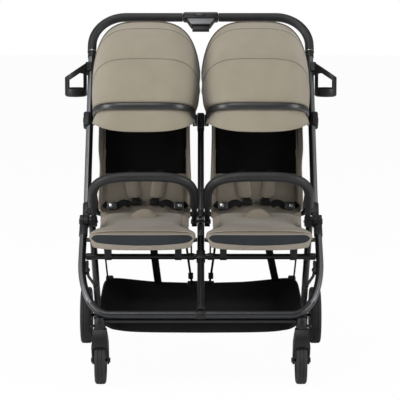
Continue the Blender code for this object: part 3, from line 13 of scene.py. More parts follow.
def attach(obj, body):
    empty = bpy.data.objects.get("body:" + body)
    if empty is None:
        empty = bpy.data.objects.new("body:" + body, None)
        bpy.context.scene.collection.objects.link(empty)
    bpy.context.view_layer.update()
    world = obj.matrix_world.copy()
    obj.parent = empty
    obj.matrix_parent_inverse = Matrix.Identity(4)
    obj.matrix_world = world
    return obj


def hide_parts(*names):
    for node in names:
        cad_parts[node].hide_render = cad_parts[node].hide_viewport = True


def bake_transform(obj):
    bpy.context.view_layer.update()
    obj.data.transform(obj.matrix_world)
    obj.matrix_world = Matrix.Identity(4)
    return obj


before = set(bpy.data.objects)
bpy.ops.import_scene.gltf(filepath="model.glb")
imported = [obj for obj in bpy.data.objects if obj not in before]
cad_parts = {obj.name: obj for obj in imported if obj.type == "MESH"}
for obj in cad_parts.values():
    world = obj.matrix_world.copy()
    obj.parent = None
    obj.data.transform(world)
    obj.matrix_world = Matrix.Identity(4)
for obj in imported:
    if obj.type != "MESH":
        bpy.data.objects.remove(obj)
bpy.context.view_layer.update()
SIDES = (("left", -1), ("right", 1))
HANDS = (("a", -1), ("b", 1))


def angle_to(start, end):
    """Side-view angle of the line from start to end."""
    return math.degrees(math.atan2(end[1] - start[1], end[0] - start[0]))


# Places and sizes shared with the solids
FOLD_PIVOT = (-0.0685, 0.442)
HANDLE_CENTRE = (0.3615, 1.034)
FRONT_BAR = (-0.3455, 0.212)
PUSH_ANGLE = angle_to(FOLD_PIVOT, HANDLE_CENTRE)
PUSH_LENGTH = math.dist(FOLD_PIVOT, HANDLE_CENTRE)
LEG_ANGLE = angle_to(FOLD_PIVOT, FRONT_BAR)
LEG_LENGTH = math.dist(FOLD_PIVOT, FRONT_BAR)
PUSH_X = 0.3425
LEG_X = 0.3505
LEG_CORNER_REACH = 0.205
LEG_CORNER_WIDTH = 0.0855
CROSSBAR_END = LEG_X - LEG_CORNER_WIDTH - 0.004
TUBE_RADIUS = 0.011
HANDLE_CORNER = 0.105
GRIP_START = PUSH_LENGTH - HANDLE_CORNER - 0.0267
GRIP_RADIUS = 0.014
GRIP_END_X = 0.0573
HUB_TOP_START = 0.326
SEAT_TUBE_REACH = 0.139
REAR_AXLE = (0.2655, 0.090)
REAR_LEG_X = 0.3265
REAR_LEG_LENGTH = 0.4852
REAR_LEG_INSET = 0.016
REAR_WHEEL_X = 0.3645
FRONT_AXLE = (-0.3055, 0.070)
CASTER_X = 0.291
CASTER_Y = -0.3385
SEAT_X = 0.1725
SEAT_REAR_Y = 0.0815
SEAT_FRONT_Y = -0.1740
SEAT_TOP_Z = 0.4013
SEAT_THICKNESS = 0.034
LEG_REST_PIVOT = (-0.1830, 0.411)
CALF_HEIGHT = 0.044
CALF_TAPER = 0.07
BACK_PIVOT = (0.100, 0.440)
BACK_ANGLE = 65.6
BACK_LENGTH = 0.475
BACK_HALF = 0.142
BACK_X = 0.1705
BACK_START = 0.019
BACK_HEAD = BACK_LENGTH - 0.030
BUMPER_X = 0.1694
BUMPER_HALF = 0.1503
BUMPER_ANGLE = 137.5
BUMPER_REACH = 0.232
BUMPER_BASE = 0.100
HOOD_PIVOT = (0.13836, 0.72680)
HOOD_X = 0.1713
HOOD_HALF = 0.152
HOOD_RADIUS = 0.303
HOOD_FRONT_ANGLE = 166.5
HOOD_REAR_ANGLE = 53.0
HOOD_SEAMS = (53.0, 98.0, 110.5, 138.0, 162.5)
HOOD_POINTS = 49
VISOR_DROP = 0.066
BASKET_HALF = 0.300
BASKET_FRONT_Y = -0.3312
BASKET_REAR_Y = 0.2100
BASKET_FLOOR_Z = 0.152
BASKET_RIM_Z = 0.190
BASKET_RIM_RISE = 0.039
BASKET_SAG = 0.028
BASKET_POWER = 7.0


def at(origin, angle, reach, x=0.0, lift=0.0):
    """Point reach along a side-view angle from origin, then lift square to it, to its left."""
    a = math.radians(angle)
    y = origin[0] + reach * math.cos(a) - lift * math.sin(a)
    z = origin[1] + reach * math.sin(a) + lift * math.cos(a)
    return Vector((x, y, z))


def push_point(reach, x):
    return at(FOLD_PIVOT, PUSH_ANGLE, reach, x)


def leg_point(reach, x):
    return at(FOLD_PIVOT, LEG_ANGLE, reach, x)


def bumper_point(reach, x):
    return at(FOLD_PIVOT, BUMPER_ANGLE, reach, x)


def line_of(make, x, *reaches):
    return [make(reach, x) for reach in reaches]


def side_frame(origin, angle, x=0.0):
    """Axes of a side-view line: x across, y along the angle, z square to it, as in the solids."""
    return Matrix.Translation((x, *origin)) @ Matrix.Rotation(math.radians(angle), 4, "X")


LEG_FRAME = side_frame(FOLD_PIVOT, LEG_ANGLE)
PUSH_FRAME = side_frame(FOLD_PIVOT, PUSH_ANGLE)


def clamped(value, low=0.0, high=1.0):
    return max(low, min(high, value))


def eased(value):
    value = clamped(value)
    return value * value * (3 - 2 * value)


def power(value, exponent):
    """Power of a value's size that keeps its sign."""
    return math.copysign(abs(value) ** exponent, value)


def dent(distance, width):
    """Depth, from 1 down to 0, of a seam's groove at a distance from its middle."""
    return math.exp(-(distance / width) ** 2)


def shares(steps):
    return [index / steps for index in range(steps + 1)]


def sheet_rows(function, across, down):
    """Rows of the points function(u, v), for u and v from 0 to 1."""
    return [[function(u, v) for u in shares(across)] for v in shares(down)]


def neighbours(items, index):
    return items[max(index - 1, 0)], items[min(index + 1, len(items) - 1)]


# Finishes
COAT_ROUGHNESS = 0.18
SHEEN_ROUGHNESS = 0.45


def add_node(tree, kind, wires=(), **values):
    """Shader node with its values set, and its inputs joined to the sockets in wires."""
    node = tree.nodes.new("ShaderNode" + kind)
    for name, value in values.items():
        if hasattr(node, name):
            setattr(node, name, value)
        else:
            node.inputs[name.replace("_", " ")].default_value = value
    for name, socket in dict(wires).items():
        tree.links.new(socket, node.inputs[name])
    return node


def finish(name, colour, second, patch, roughness, metallic=0.0, coat=0.0, sheen=0.0, specular=0.5):
    """Material with a soft variation between two colours, and what a pattern needs to join it."""
    made = bpy.data.materials.new(name)
    made.use_nodes = True
    tree = made.node_tree
    shader = tree.nodes["Principled BSDF"]
    for socket, value in (("Roughness", roughness), ("Metallic", metallic), ("Coat Weight", coat),
                          ("Coat Roughness", COAT_ROUGHNESS), ("Sheen Weight", sheen),
                          ("Sheen Roughness", SHEEN_ROUGHNESS), ("Specular IOR Level", specular)):
        shader.inputs[socket].default_value = value
    place = add_node(tree, "TexCoord").outputs["Object"]
    cloud = add_node(tree, "TexNoise", {"Vector": place}, Scale=patch, Detail=4.0, Roughness=0.6)
    ramp = add_node(tree, "ValToRGB", {"Fac": cloud.outputs["Fac"]})
    for stop, position, shade in zip(ramp.color_ramp.elements, (0.30, 0.72), (colour, second)):
        stop.position = position
        stop.color = (*shade, 1)
    tree.links.new(ramp.outputs["Color"], shader.inputs["Base Color"])
    return made, tree, shader, place, ramp.outputs["Color"]


def bump(tree, shader, height, strength, distance):
    node = add_node(tree, "Bump", {"Height": height}, Strength=strength, Distance=distance)
    tree.links.new(node.outputs["Normal"], shader.inputs["Normal"])


def woven(name, colour, second, pitch, roughness, depth=0.0004, sheen=0.25, thread=0.82):
    """Plain weave: two sets of threads that cross, with darker gaps between them."""
    made, tree, shader, place, cloud = finish(name, colour, second, 9.0, roughness, sheen=sheen,
                                              specular=0.25)
    waves = []
    quarter = math.pi / 2
    for turn, bands in (((0, 0, 0), "X"), ((0, 0, quarter), "X"), ((quarter, 0, 0), "Z")):
        mapping = add_node(tree, "Mapping", {"Vector": place}, Rotation=turn)
        wave = add_node(tree, "TexWave", {"Vector": mapping.outputs["Vector"]}, bands_direction=bands,
                        Scale=0.32 / pitch, Distortion=0.6)
        waves.append(wave.outputs["Fac"])
    first = add_node(tree, "Math", {0: waves[0], 1: waves[1]}, operation="MAXIMUM").outputs[0]
    both = add_node(tree, "Math", {0: first, 1: waves[2]}, operation="MULTIPLY").outputs[0]
    shade = add_node(tree, "MapRange", {"Value": both}, To_Min=thread, To_Max=1.06)
    tint = add_node(tree, "Mix", {"A": cloud, "B": shade.outputs["Result"]}, data_type="RGBA",
                    blend_type="MULTIPLY", Factor=1.0)
    tree.links.new(tint.outputs["Result"], shader.inputs["Base Color"])
    bump(tree, shader, both, 0.55, depth)
    return made


def grained(name, colour, second, size, roughness, depth=0.0003, metallic=0.0, coat=0.0, specular=0.5):
    """Moulded plastic, leatherette or rubber: small rounded cells and a little wear in the gloss."""
    made, tree, shader, place, _ = finish(name, colour, second, 14.0, roughness, metallic, coat, 0.0,
                                          specular)
    cells = add_node(tree, "TexVoronoi", {"Vector": place}, Scale=1.0 / size, Randomness=1.0)
    fine = add_node(tree, "TexNoise", {"Vector": place}, Scale=2.4 / size, Detail=3.0)
    total = add_node(tree, "Math", {0: cells.outputs["Distance"], 1: fine.outputs["Fac"]}, operation="ADD")
    bump(tree, shader, total.outputs[0], 0.35, depth)
    gloss = add_node(tree, "TexNoise", {"Vector": place}, Scale=31.0, Detail=5.0)
    level = add_node(tree, "MapRange", {"Value": gloss.outputs["Fac"]}, To_Min=max(0.05, roughness - 0.07),
                     To_Max=min(1.0, roughness + 0.09))
    tree.links.new(level.outputs["Result"], shader.inputs["Roughness"])
    return made


FINISH = {
    "taupe_cloth": woven("taupe cloth", (0.292, 0.257, 0.195), (0.335, 0.299, 0.230), 0.0009, 0.9, 0.0002,
                         thread=0.92),
    "seat_cloth": woven("seat cloth", (0.272, 0.238, 0.192), (0.314, 0.277, 0.227), 0.0009, 0.92, 0.0002,
                        thread=0.92),
    # Near black inside of the hoods: partly a real dark lining, partly painted shade under the hood.
    "lining_painted_shade": woven("dark lining", (0.004, 0.004, 0.0045), (0.008, 0.008, 0.008), 0.0013, 0.95, sheen=0.0),
    "dark_mesh": woven("dark mesh", (0.022, 0.027, 0.031), (0.034, 0.039, 0.044), 0.0016, 0.9, 0.0003, 0.1,
                       0.75),
    # Near black panel on the upper backrest: partly a real mesh panel, partly painted shade under the hood.
    "black_mesh_painted_shade": woven("black mesh and painted shade", (0.0015, 0.0015, 0.0016), (0.003, 0.003, 0.003), 0.0024, 0.95, 0.0006,
                        0.0, 0.4),
    "webbing": woven("black webbing", (0.006, 0.006, 0.0065), (0.011, 0.011, 0.012), 0.0017, 0.8, 0.0005,
                     0.03, 0.6),
    "webbing_soft": woven("black basket cloth", (0.002, 0.002, 0.0022), (0.004, 0.004, 0.0042), 0.0012, 0.9,
                          0.0004, 0.01, 0.7),
    "piping": woven("piping", (0.135, 0.115, 0.090), (0.165, 0.142, 0.112), 0.0011, 0.85),
    # Pale piping on the seat's front edge: partly real piping, partly a painted highlight where the edge
    # meets the light.
    "piping_painted_highlight": woven("pale piping, painted highlight", (0.400, 0.352, 0.296), (0.430, 0.385, 0.325), 0.0011, 0.8),
    "piping_dark": grained("dark seam", (0.018, 0.018, 0.019), (0.024, 0.024, 0.025), 0.0012, 0.7),
    "leatherette": grained("charcoal leatherette", (0.0135, 0.0135, 0.0145), (0.020, 0.020, 0.021), 0.0016,
                           0.50, specular=0.4),
    "frame_tube": grained("satin dark tube", (0.030, 0.031, 0.034), (0.038, 0.039, 0.043), 0.0007, 0.36,
                          0.0001, 0.55, 0.15),
    # Pale grey for the outward faces of the dark tubes: a painted highlight, the reflection of the side
    # lamps.
    "tube_painted_highlight": grained("satin grey tube, painted highlight", (0.145, 0.149, 0.159), (0.165, 0.169, 0.178), 0.0007, 0.38,
                            0.0001, 0.6, 0.15),
    "black_tube": grained("black tube", (0.0035, 0.0035, 0.004), (0.006, 0.006, 0.0065), 0.0007, 0.34,
                          0.0001, 0.0, 0.1, specular=0.4),
    "black_plastic": grained("black plastic", (0.0055, 0.0055, 0.006), (0.009, 0.009, 0.0095), 0.0009, 0.45,
                             0.0002, specular=0.4),
    "gloss_black": grained("gloss dark plastic", (0.024, 0.0245, 0.026), (0.030, 0.0305, 0.032), 0.0012,
                           0.36, 0.00005, 0.0, 0.10),
    "grey_trim": grained("grey trim", (0.155, 0.158, 0.168), (0.180, 0.184, 0.194), 0.0008, 0.42, 0.0001,
                         0.3),
    "tyre": grained("tyre rubber", (0.016, 0.016, 0.017), (0.030, 0.029, 0.028), 0.0022, 0.78, 0.0004),
    "steel": grained("bright steel", (0.62, 0.63, 0.64), (0.70, 0.70, 0.70), 0.0012, 0.28, 0.00005, 1.0),
}


# Ways of making a piece
WELD_DISTANCE = 0.00001


def deselect():
    if bpy.context.object and bpy.context.object.mode != "OBJECT":
        bpy.ops.object.mode_set(mode="OBJECT")
    bpy.ops.object.select_all(action="DESELECT")


def only(obj):
    deselect()
    obj.select_set(True)
    bpy.context.view_layer.objects.active = obj
    return obj


def linked(name, data):
    obj = bpy.data.objects.new(name, data)
    bpy.context.scene.collection.objects.link(obj)
    return obj


def shell(name, points, faces, edges=()):
    mesh = bpy.data.meshes.new(name)
    mesh.from_pydata(points, edges, faces)
    return linked(name, mesh)


def edited(obj):
    """Opens a piece for editing with all of it selected."""
    only(obj)
    bpy.ops.object.mode_set(mode="EDIT")
    bpy.ops.mesh.select_all(action="SELECT")


def cleaned(obj, merge=False, fill=False):
    """Turns a piece's normals outwards, after merging doubled points or closing its open ends."""
    edited(obj)
    if merge:
        bpy.ops.mesh.remove_doubles(threshold=WELD_DISTANCE)
    if fill:
        bpy.ops.mesh.fill_holes(sides=0)
    bpy.ops.mesh.normals_make_consistent(inside=False)
    bpy.ops.object.mode_set(mode="OBJECT")
    return obj


def settled(obj, name, key, body, smooth=40, node=None):
    """Names a finished piece, bakes its place into its mesh, gives it its finish and body, and hides the
    solid it stands for."""
    only(obj)
    bpy.ops.object.transform_apply(location=True, rotation=True, scale=True)
    bpy.ops.object.shade_smooth_by_angle(angle=math.radians(smooth))
    obj.name = name
    obj.data.name = name
    if key:
        obj.data.materials.clear()
        obj.data.materials.append(FINISH[key])
    if body:
        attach(obj, body)
    if node:
        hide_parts(node)
    return obj


def apply_all(obj):
    only(obj)
    for modifier in list(obj.modifiers):
        bpy.ops.object.modifier_apply(modifier=modifier.name)
    return obj


def subdivided(obj, levels=1):
    finer = obj.modifiers.new("finer", "SUBSURF")
    finer.levels = levels
    finer.render_levels = levels
    return apply_all(obj)


def rounded(obj, width, segments, angle=32):
    bevel = obj.modifiers.new("round", "BEVEL")
    bevel.width = width
    bevel.segments = segments
    bevel.limit_method = "ANGLE"
    bevel.angle_limit = math.radians(angle)
    return apply_all(obj)


def block(name, low, high, key="black_plastic", body="chassis", bevel=0.002, turn=None, segments=3,
          shape=None):
    """Box with rounded edges between two corners, changed by shape and then turned."""
    low, high = zip(*[sorted(pair) for pair in zip(low, high)])
    deselect()
    bpy.ops.mesh.primitive_cube_add(size=1.0, location=[(a + b) / 2 for a, b in zip(low, high)])
    obj = bpy.context.object
    obj.scale = [b - a for a, b in zip(low, high)]
    bpy.ops.object.transform_apply(location=True, rotation=True, scale=True)
    if shape:
        shape(obj)
    if turn:
        obj.data.transform(turn)
    return settled(rounded(obj, bevel, segments), name, key, body)


def tube(name, points, radius, key="black_plastic", body="chassis", radii=None, resolution=8, closed=False,
         node=None):
    """Round tube along points, with closed ends."""
    deselect()
    bpy.ops.curve.primitive_bezier_curve_add()
    curve = bpy.context.object.data
    curve.splines.clear()
    spline = curve.splines.new("POLY")
    spline.points.add(len(points) - 1)
    for index, point in enumerate(points):
        spline.points[index].co = (*point, 1.0)
        spline.points[index].radius = radii[index] if radii else 1.0
    spline.use_cyclic_u = closed
    curve.dimensions = "3D"
    curve.bevel_depth = radius
    curve.bevel_resolution = resolution
    curve.use_fill_caps = not closed
    only(bpy.context.object)
    bpy.ops.object.convert(target="MESH")
    return settled(cleaned(bpy.context.object, merge=True), name, key, body, 50, node)


def cross_tube(name, half, y, z, radius, key="black_tube", middle=0.0, node=None):
    """Straight tube across the stroller."""
    return tube(name, [(middle - half, y, z), (middle + half, y, z)], radius, key, node=node)


def lathed(name, profile, centre, axis, key="black_plastic", body="chassis", steps=56, smooth=35, node=None):
    """Closed ring or knob: a (radius, along) profile spun about an axis through centre."""
    axis = Vector(axis).normalized()
    side = axis.orthogonal().normalized()
    points = [Vector(centre) + side * radius + axis * along for radius, along in profile]
    edges = [(i, i + 1) for i in range(len(points) - 1)]
    if profile[0][0] > 0.0 and profile[-1][0] > 0.0:
        edges.append((len(points) - 1, 0))
    obj = shell(name, points, [], edges)
    edited(obj)
    bpy.ops.mesh.spin(steps=steps, angle=2 * math.pi, center=centre, axis=axis)
    return settled(cleaned(obj, merge=True), name, key, body, smooth, node)


def ring_profile(bore, radius, low, high):
    """Section of a plain ring with bevelled outer edges, as (radius, along) pairs."""
    edge = 0.001
    return [(bore, low), (radius - edge, low), (radius, low + edge), (radius, high - edge),
            (radius - edge, high), (bore, high)]


def refined(node, body="chassis", bevel=0.0012, segments=2, key="black_plastic", name=None, shape=None):
    """Softened copy of a solid, with its edges rounded, that stands for it."""
    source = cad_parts[node]
    obj = source.copy()
    obj.data = source.data.copy()
    obj.parent = None
    obj.matrix_world = Matrix.Identity(4)
    for label in list(obj.keys()):
        if label.startswith("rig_"):
            del obj[label]
    bpy.context.scene.collection.objects.link(obj)
    edited(obj)
    bpy.ops.mesh.remove_doubles(threshold=WELD_DISTANCE)
    bpy.ops.mesh.dissolve_limited(angle_limit=math.radians(1.0))
    bpy.ops.object.mode_set(mode="OBJECT")
    if "custom_normal" in obj.data.attributes:
        obj.data.attributes.remove(obj.data.attributes["custom_normal"])
    if shape:
        shape(obj)
    return settled(rounded(obj, bevel, segments, 40), name or node + "_dressed", key, body, node=node)


def cut(obj, tool):
    modifier = obj.modifiers.new("cut", "BOOLEAN")
    modifier.operation = "DIFFERENCE"
    modifier.solver = "EXACT"
    modifier.object = tool
    apply_all(obj)
    bpy.data.objects.remove(tool)


def skin(name, rows, thickness, key, body, inner=None, levels=1, closed=False, offset=0.0, cap=False):
    """Cloth from rows of points: one wall with its edges closed, inner is its lining."""
    columns = len(rows[0])
    points = [point for row in rows for point in row]
    faces = []
    for start in range(0, len(points) - columns, columns):
        for i in range(columns if closed else columns - 1):
            k = (i + 1) % columns
            faces.append((start + i, start + k, start + columns + k, start + columns + i))
    if cap:
        faces.append(tuple(range(len(points) - columns, len(points))))
    obj = shell(name, points, faces)
    obj.data.materials.append(FINISH[key])
    if inner:
        obj.data.materials.append(FINISH[inner])
    if levels:
        subdivided(obj, levels)
    if thickness:
        wall = obj.modifiers.new("wall", "SOLIDIFY")
        wall.thickness = thickness
        wall.offset = offset
        wall.material_offset = 1 if inner else 0
        wall.material_offset_rim = 0
        apply_all(obj)
    return settled(obj, name, None, body, 60)


def closed_bar(name, rings, key):
    """Solid bar through closed rings of points, not yet settled on a body."""
    return cleaned(skin(name, rings, 0, key, None, levels=0, closed=True), fill=True)


def copied(source, name, matrix, body):
    """Cushion copied to its place."""
    obj = linked(name, source.data.copy())
    obj.data.transform(matrix)
    return settled(obj, name, "seat_cloth", body, 60)


def arch(half_width, height, shape, count):
    """(x, height) points evenly spaced along half a superellipse, from +x over the top to -x."""
    dense, steps = [], 800
    for index in range(steps + 1):
        a = math.pi * index / steps
        rise = max(math.sin(a), 0.0) ** (2 / shape)
        dense.append((half_width * power(math.cos(a), 2 / shape), height * rise))
    lengths = [0.0]
    for first, second in zip(dense, dense[1:]):
        lengths.append(lengths[-1] + math.dist(first, second))
    points, k = [], 0
    for index in range(count):
        target = lengths[-1] * index / (count - 1)
        while k < len(dense) - 2 and lengths[k + 1] < target:
            k += 1
        share = (target - lengths[k]) / (lengths[k + 1] - lengths[k])
        first, second = dense[k], dense[k + 1]
        points.append((first[0] + (second[0] - first[0]) * share, first[1] + (second[1] - first[1]) * share))
    return points


# Hoods

def hood_row(angle, rise, lift, drop, sign, count=HOOD_POINTS):
    """One arch of a hood's cloth, as the solids have it."""
    share = (angle - HOOD_REAR_ANGLE) / (HOOD_FRONT_ANGLE - HOOD_REAR_ANGLE)
    half = HOOD_HALF + min(rise, 0.003) + 0.0065 * math.sin(math.pi * share)
    shape = 3.15 + 1.45 * max(0.0, share) ** 1.8
    bulge = 0.0116 * eased((angle - 72) / 26) * eased((HOOD_FRONT_ANGLE - angle) / 13)
    row = []
    for x, reach in arch(half, HOOD_RADIUS + rise, shape, count):
        x -= bulge * (0.5 - 0.5 * x / half) ** 1.5 * eased((reach - 0.085) / 0.07)
        edge = math.sqrt(max(0.0, 1 - abs(x / 0.157) ** 3)) if abs(x) < 0.157 else 0.0
        reach = max(reach, 0.080)
        row.append(at(HOOD_PIVOT, angle, reach, sign * (HOOD_X + x), lift + drop * (0.06 + 0.94 * edge)))
    return row if sign > 0 else row[::-1]


def follow_hood(obj):
    """Puts the place of a piece of the hood into its mesh."""
    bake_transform(obj)
    return obj


def hood(side, sign):
    """Hood cloth with its seams, from the rear edge to the bow, under the bow and on as the visor."""
    over, under = 0.005, -0.0048
    visor_rise, visor_lift = 0.012, 0.0110
    stations = []
    for low, high in zip(HOOD_SEAMS, HOOD_SEAMS[1:]):
        steps = max(3, round((high - low) / 5.5))
        for share in shares(steps)[:-1]:
            dip = 0.0032 * math.sin(math.pi * share) ** 0.8
            stations.append((low + (high - low) * share, over - dip, 0.0, 0.0))
    stations.append((HOOD_SEAMS[-1], over, 0.0, 0.0))
    for rise, lift in ((over, -0.0115), (under, -0.0110), (under, 0.0)):
        stations.append((HOOD_FRONT_ANGLE, rise, lift, 0.0))
    for share in (0.0, 0.2, 0.45, 0.7, 0.9, 1.0):
        stations.append((HOOD_FRONT_ANGLE, under + visor_rise * share ** 0.8, visor_lift, VISOR_DROP * share))
    rows = [hood_row(*station, sign) for station in stations]
    # Painted shade: the inside face takes the near black lining finish for the shade under the hood.
    cloth = skin("hood_cloth_" + side, rows, 0.0022, "taupe_cloth", None, "lining_painted_shade", offset=-1.0)
    follow_hood(cloth)
    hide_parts("canopy_" + side)
    looks = (("piping", 0.0020, 0.0006), ("piping", 0.0017, 0.0012), ("seat_cloth", 0.0007, 0.0001),
             ("seat_cloth", 0.0008, 0.0002))
    for index, (angle, (key, radius, rise)) in enumerate(zip(HOOD_SEAMS, looks)):
        line = hood_row(angle, over + rise, 0.0, 0.0, sign, 71)
        trim = tube(f"hood_seam_{index + 1}_{side}", line, radius, key, None, resolution=3)
        follow_hood(trim)
    rim = hood_row(HOOD_FRONT_ANGLE, under + visor_rise, visor_lift, VISOR_DROP - 0.0005, sign, 71)
    hem = tube("visor_hem_" + side, rim, 0.0016, "taupe_cloth", None, resolution=3)
    follow_hood(hem)


def bow(side, sign):
    """Glossy front bow with a rounded section, and its hubs on the pivots."""
    section = []
    for index in range(20):
        a = 2 * math.pi * index / 20
        section.append((0.0042 * power(math.cos(a), 0.95), 0.0100 * power(math.sin(a), 0.9)))
    profile = arch(HOOD_HALF, HOOD_RADIUS, 4.6, 81)
    rings = []
    for index, (x, reach) in enumerate(profile):
        before, after = neighbours(profile, index)
        run = Vector((after[0] - before[0], after[1] - before[1])).normalized()
        ring = [at(HOOD_PIVOT, HOOD_FRONT_ANGLE, reach - run.x * out, sign * (HOOD_X + x + run.y * out),
                   height) for out, height in section]
        rings.append(ring if sign > 0 else ring[::-1])
    bar = closed_bar("hood_bow_" + side, rings, "gloss_black")
    settled(bar, "hood_bow_" + side, "gloss_black", "canopy_" + side, node="canopy_bow_" + side)
    for label, low, high, radius in (("outer", 0.3160, 0.3312, 0.0140), ("inner", 0.0111, 0.0250, 0.0185)):
        depth = high - low
        profile = [(0.0, 0.0), (radius - 0.0015, 0.0), (radius, 0.0015), (radius, depth - 0.0015),
                   (radius - 0.0015, depth), (0.0070, depth), (0.0064, depth - 0.0012), (0.0, depth - 0.0012)]
        lathed(f"hood_hub_{label}_{side}", profile, (sign * low, *HOOD_PIVOT), (sign, 0, 0),
               body="canopy_" + side, steps=40)


def hood_back(side, sign):
    """Cloth that closes the gap between a hood's rear edge and the backrest's head."""
    half = 0.134

    def point(u, v):
        x = half * (2 * u - 1)
        top = HOOD_RADIUS * (1 - abs(x / 0.155) ** 3.5) ** (1 / 3.5) - 0.002
        upper = at(HOOD_PIVOT, HOOD_REAR_ANGLE, top, sign * HOOD_X + x)
        lower = at(BACK_PIVOT, BACK_ANGLE, BACK_HEAD, sign * BACK_X + x * 0.97, -0.0055)
        spot = upper.lerp(lower, v)
        spot.y += 0.012 * math.sin(math.pi * v) * (1 - (x / half) ** 2)
        return spot

    # Painted shade: its inside face takes the same near black lining finish.
    panel = skin("hood_back_" + side, sheet_rows(point, 24, 6), 0.0016, "taupe_cloth", None, "lining_painted_shade")
    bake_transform(panel)


# Cushions

def pillow(name, columns, rows, top, bottom, waist=0.0):
    """Closed cushion over a grid. top and bottom give a point for shares u and v."""
    bm = bmesh.new()

    def cover(points, flip):
        for lower, upper in zip(points, points[1:]):
            for i in range(columns):
                quad = (lower[i], lower[i + 1], upper[i + 1], upper[i])
                bm.faces.new(quad[::-1] if flip else quad)

    def border(points):
        loop = points[0][:] + [row[-1] for row in points[1:]]
        return loop + points[-1][-2::-1] + [row[0] for row in points[-2:0:-1]]

    def grid(face):
        return [[bm.verts.new(point) for point in row] for row in sheet_rows(face, columns, rows)]

    upper_grid, lower_grid = grid(top), grid(bottom)
    cover(upper_grid, False)
    cover(lower_grid, True)
    upper, lower = border(upper_grid), border(lower_grid)
    middle = sum((vert.co for vert in upper), Vector()) / len(upper)
    waists = []
    for high, low in zip(upper, lower):
        point = (high.co + low.co) / 2
        inward = Vector((middle.x - point.x, middle.y - point.y, 0.0))
        waists.append(bm.verts.new(point + inward.normalized() * waist))
    for index in range(len(upper)):
        following = (index + 1) % len(upper)
        bm.faces.new((upper[index], waists[index], waists[following], upper[following]))
        bm.faces.new((waists[index], lower[index], lower[following], waists[following]))
    bmesh.ops.recalc_face_normals(bm, faces=bm.faces)
    mesh = bpy.data.meshes.new(name)
    bm.to_mesh(mesh)
    bm.free()
    return linked(name, mesh)


def inflated(obj, voxel, cap, floor):
    """Swells a cushion as stuffed cloth. No point moves more than cap or sinks below floor."""
    last_frame = 20
    only(obj)
    obj.data.remesh_voxel_size = voxel
    bpy.ops.object.voxel_remesh()
    before = [vert.co.copy() for vert in obj.data.vertices]
    cloth = obj.modifiers.new("swell", "CLOTH")
    cloth.settings.use_pressure = True
    cloth.settings.uniform_pressure_force = 4.0
    cloth.settings.quality = 5
    cloth.settings.tension_stiffness = 18
    cloth.settings.compression_stiffness = 18
    cloth.settings.bending_stiffness = 0.6
    cloth.settings.effector_weights.gravity = 0.0
    cloth.point_cache.frame_start = 1
    cloth.point_cache.frame_end = last_frame
    for step in range(1, last_frame + 1):
        bpy.context.scene.frame_set(step)
    apply_all(obj)
    bpy.context.scene.frame_set(1)
    for vert, old in zip(obj.data.vertices, before):
        move = vert.co - old
        if move.length > cap:
            vert.co = old + move.normalized() * cap
        vert.co.z = max(vert.co.z, floor)
    smooth = obj.modifiers.new("even", "SMOOTH")
    smooth.factor = 0.5
    smooth.iterations = 4
    return subdivided(obj)


def stretched_to(obj, axis, low, high):
    """Brings a swollen cushion back to its full length along one axis."""
    values = [vert.co[axis] for vert in obj.data.vertices]
    first, last = min(values), max(values)
    for vert in obj.data.vertices:
        vert.co[axis] = low + (vert.co[axis] - first) / (last - first) * (high - low)


def seat_half(y):
    """Half width of a seat cushion at y. It is pinched where the rear leg passes."""
    return 0.1375 + 0.0205 * eased((-0.086 - y) / 0.046)


def seat_height(u, v):
    across = 1 - abs(2 * u - 1) ** 5
    along = 1 - max(0.0, (0.16 - v) / 0.16) ** 2 * 0.55
    rear = 1 - max(0.0, (v - 0.94) / 0.06) ** 2 * 0.2
    rise = 0.013 * eased((v - 0.45) / 0.5)
    return (SEAT_THICKNESS * (0.62 + 0.38 * across) * along + rise) * rear


def make_seat_cushion():
    """Seat cushion in its own place, centred on x = 0: crowned, with a sewn channel behind its front."""
    def plan(u, v):
        y = SEAT_FRONT_Y + 0.002 + (SEAT_REAR_Y - SEAT_FRONT_Y - 0.004) * v
        return (2 * u - 1) * (seat_half(y) - 0.002), y

    obj = pillow("seat_cushion", 24, 24, lambda u, v: (*plan(u, v), seat_height(u, v) - 0.004),
                 lambda u, v: (*plan(u, v), 0.0008), 0.003)
    inflated(obj, 0.005, 0.006, 0.0004)
    stretched_to(obj, 0, -seat_half(SEAT_FRONT_Y), seat_half(SEAT_FRONT_Y))
    stretched_to(obj, 1, SEAT_FRONT_Y, SEAT_REAR_Y)
    for vert in obj.data.vertices:
        x, y, z = vert.co
        if z > 0.012:
            share = (y - SEAT_FRONT_Y) / (SEAT_REAR_Y - SEAT_FRONT_Y)
            sides = 0.0016 * dent(abs(x) - 0.118, 0.0045) * eased((share - 0.13) / 0.1)
            vert.co.z -= 0.0022 * dent(share - 0.125, 0.018) + sides
        half = seat_half(y)
        vert.co.x = clamped(x, -half, half)
        vert.co.y = clamped(y, SEAT_FRONT_Y, SEAT_REAR_Y)
    return obj


def seats():
    source = make_seat_cushion()
    half = seat_half(SEAT_FRONT_Y) - 0.006
    for side, sign in SIDES:
        matrix = Matrix.Translation((sign * SEAT_X, 0.0, SEAT_TOP_Z))
        cushion = copied(source, "seat_cushion_" + side, matrix, "chassis")
        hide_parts("seat_pad_" + side)
        # Piping along the seat's front: its pale finish is partly a painted highlight on the lit front edge.
        rim = []
        for u in shares(40):
            across = 2 * u - 1
            rim.append((sign * SEAT_X + across * half, SEAT_FRONT_Y + 0.0085 + 0.007 * abs(across) ** 10,
                        SEAT_TOP_Z + 0.0262 - 0.008 * abs(across) ** 6))
        tube("seat_piping_" + side, rim, 0.0021, "piping_painted_highlight", resolution=3)
    bpy.data.objects.remove(source)


def calf_face(across, share, drop, depth=1.0):
    """y of a calf rest's surface. depth runs from 0 at its back to 1 on its bulging face."""
    crown = 1 - across ** 2
    bulge = 0.0060 * math.sin(math.pi * min(1, share * 1.05)) * crown
    back = LEG_REST_PIVOT[0] - 0.0074 - 0.006 * crown - 0.42 * drop
    return back - depth * (1 - 0.25 * across ** 8) * (0.0075 + bulge)


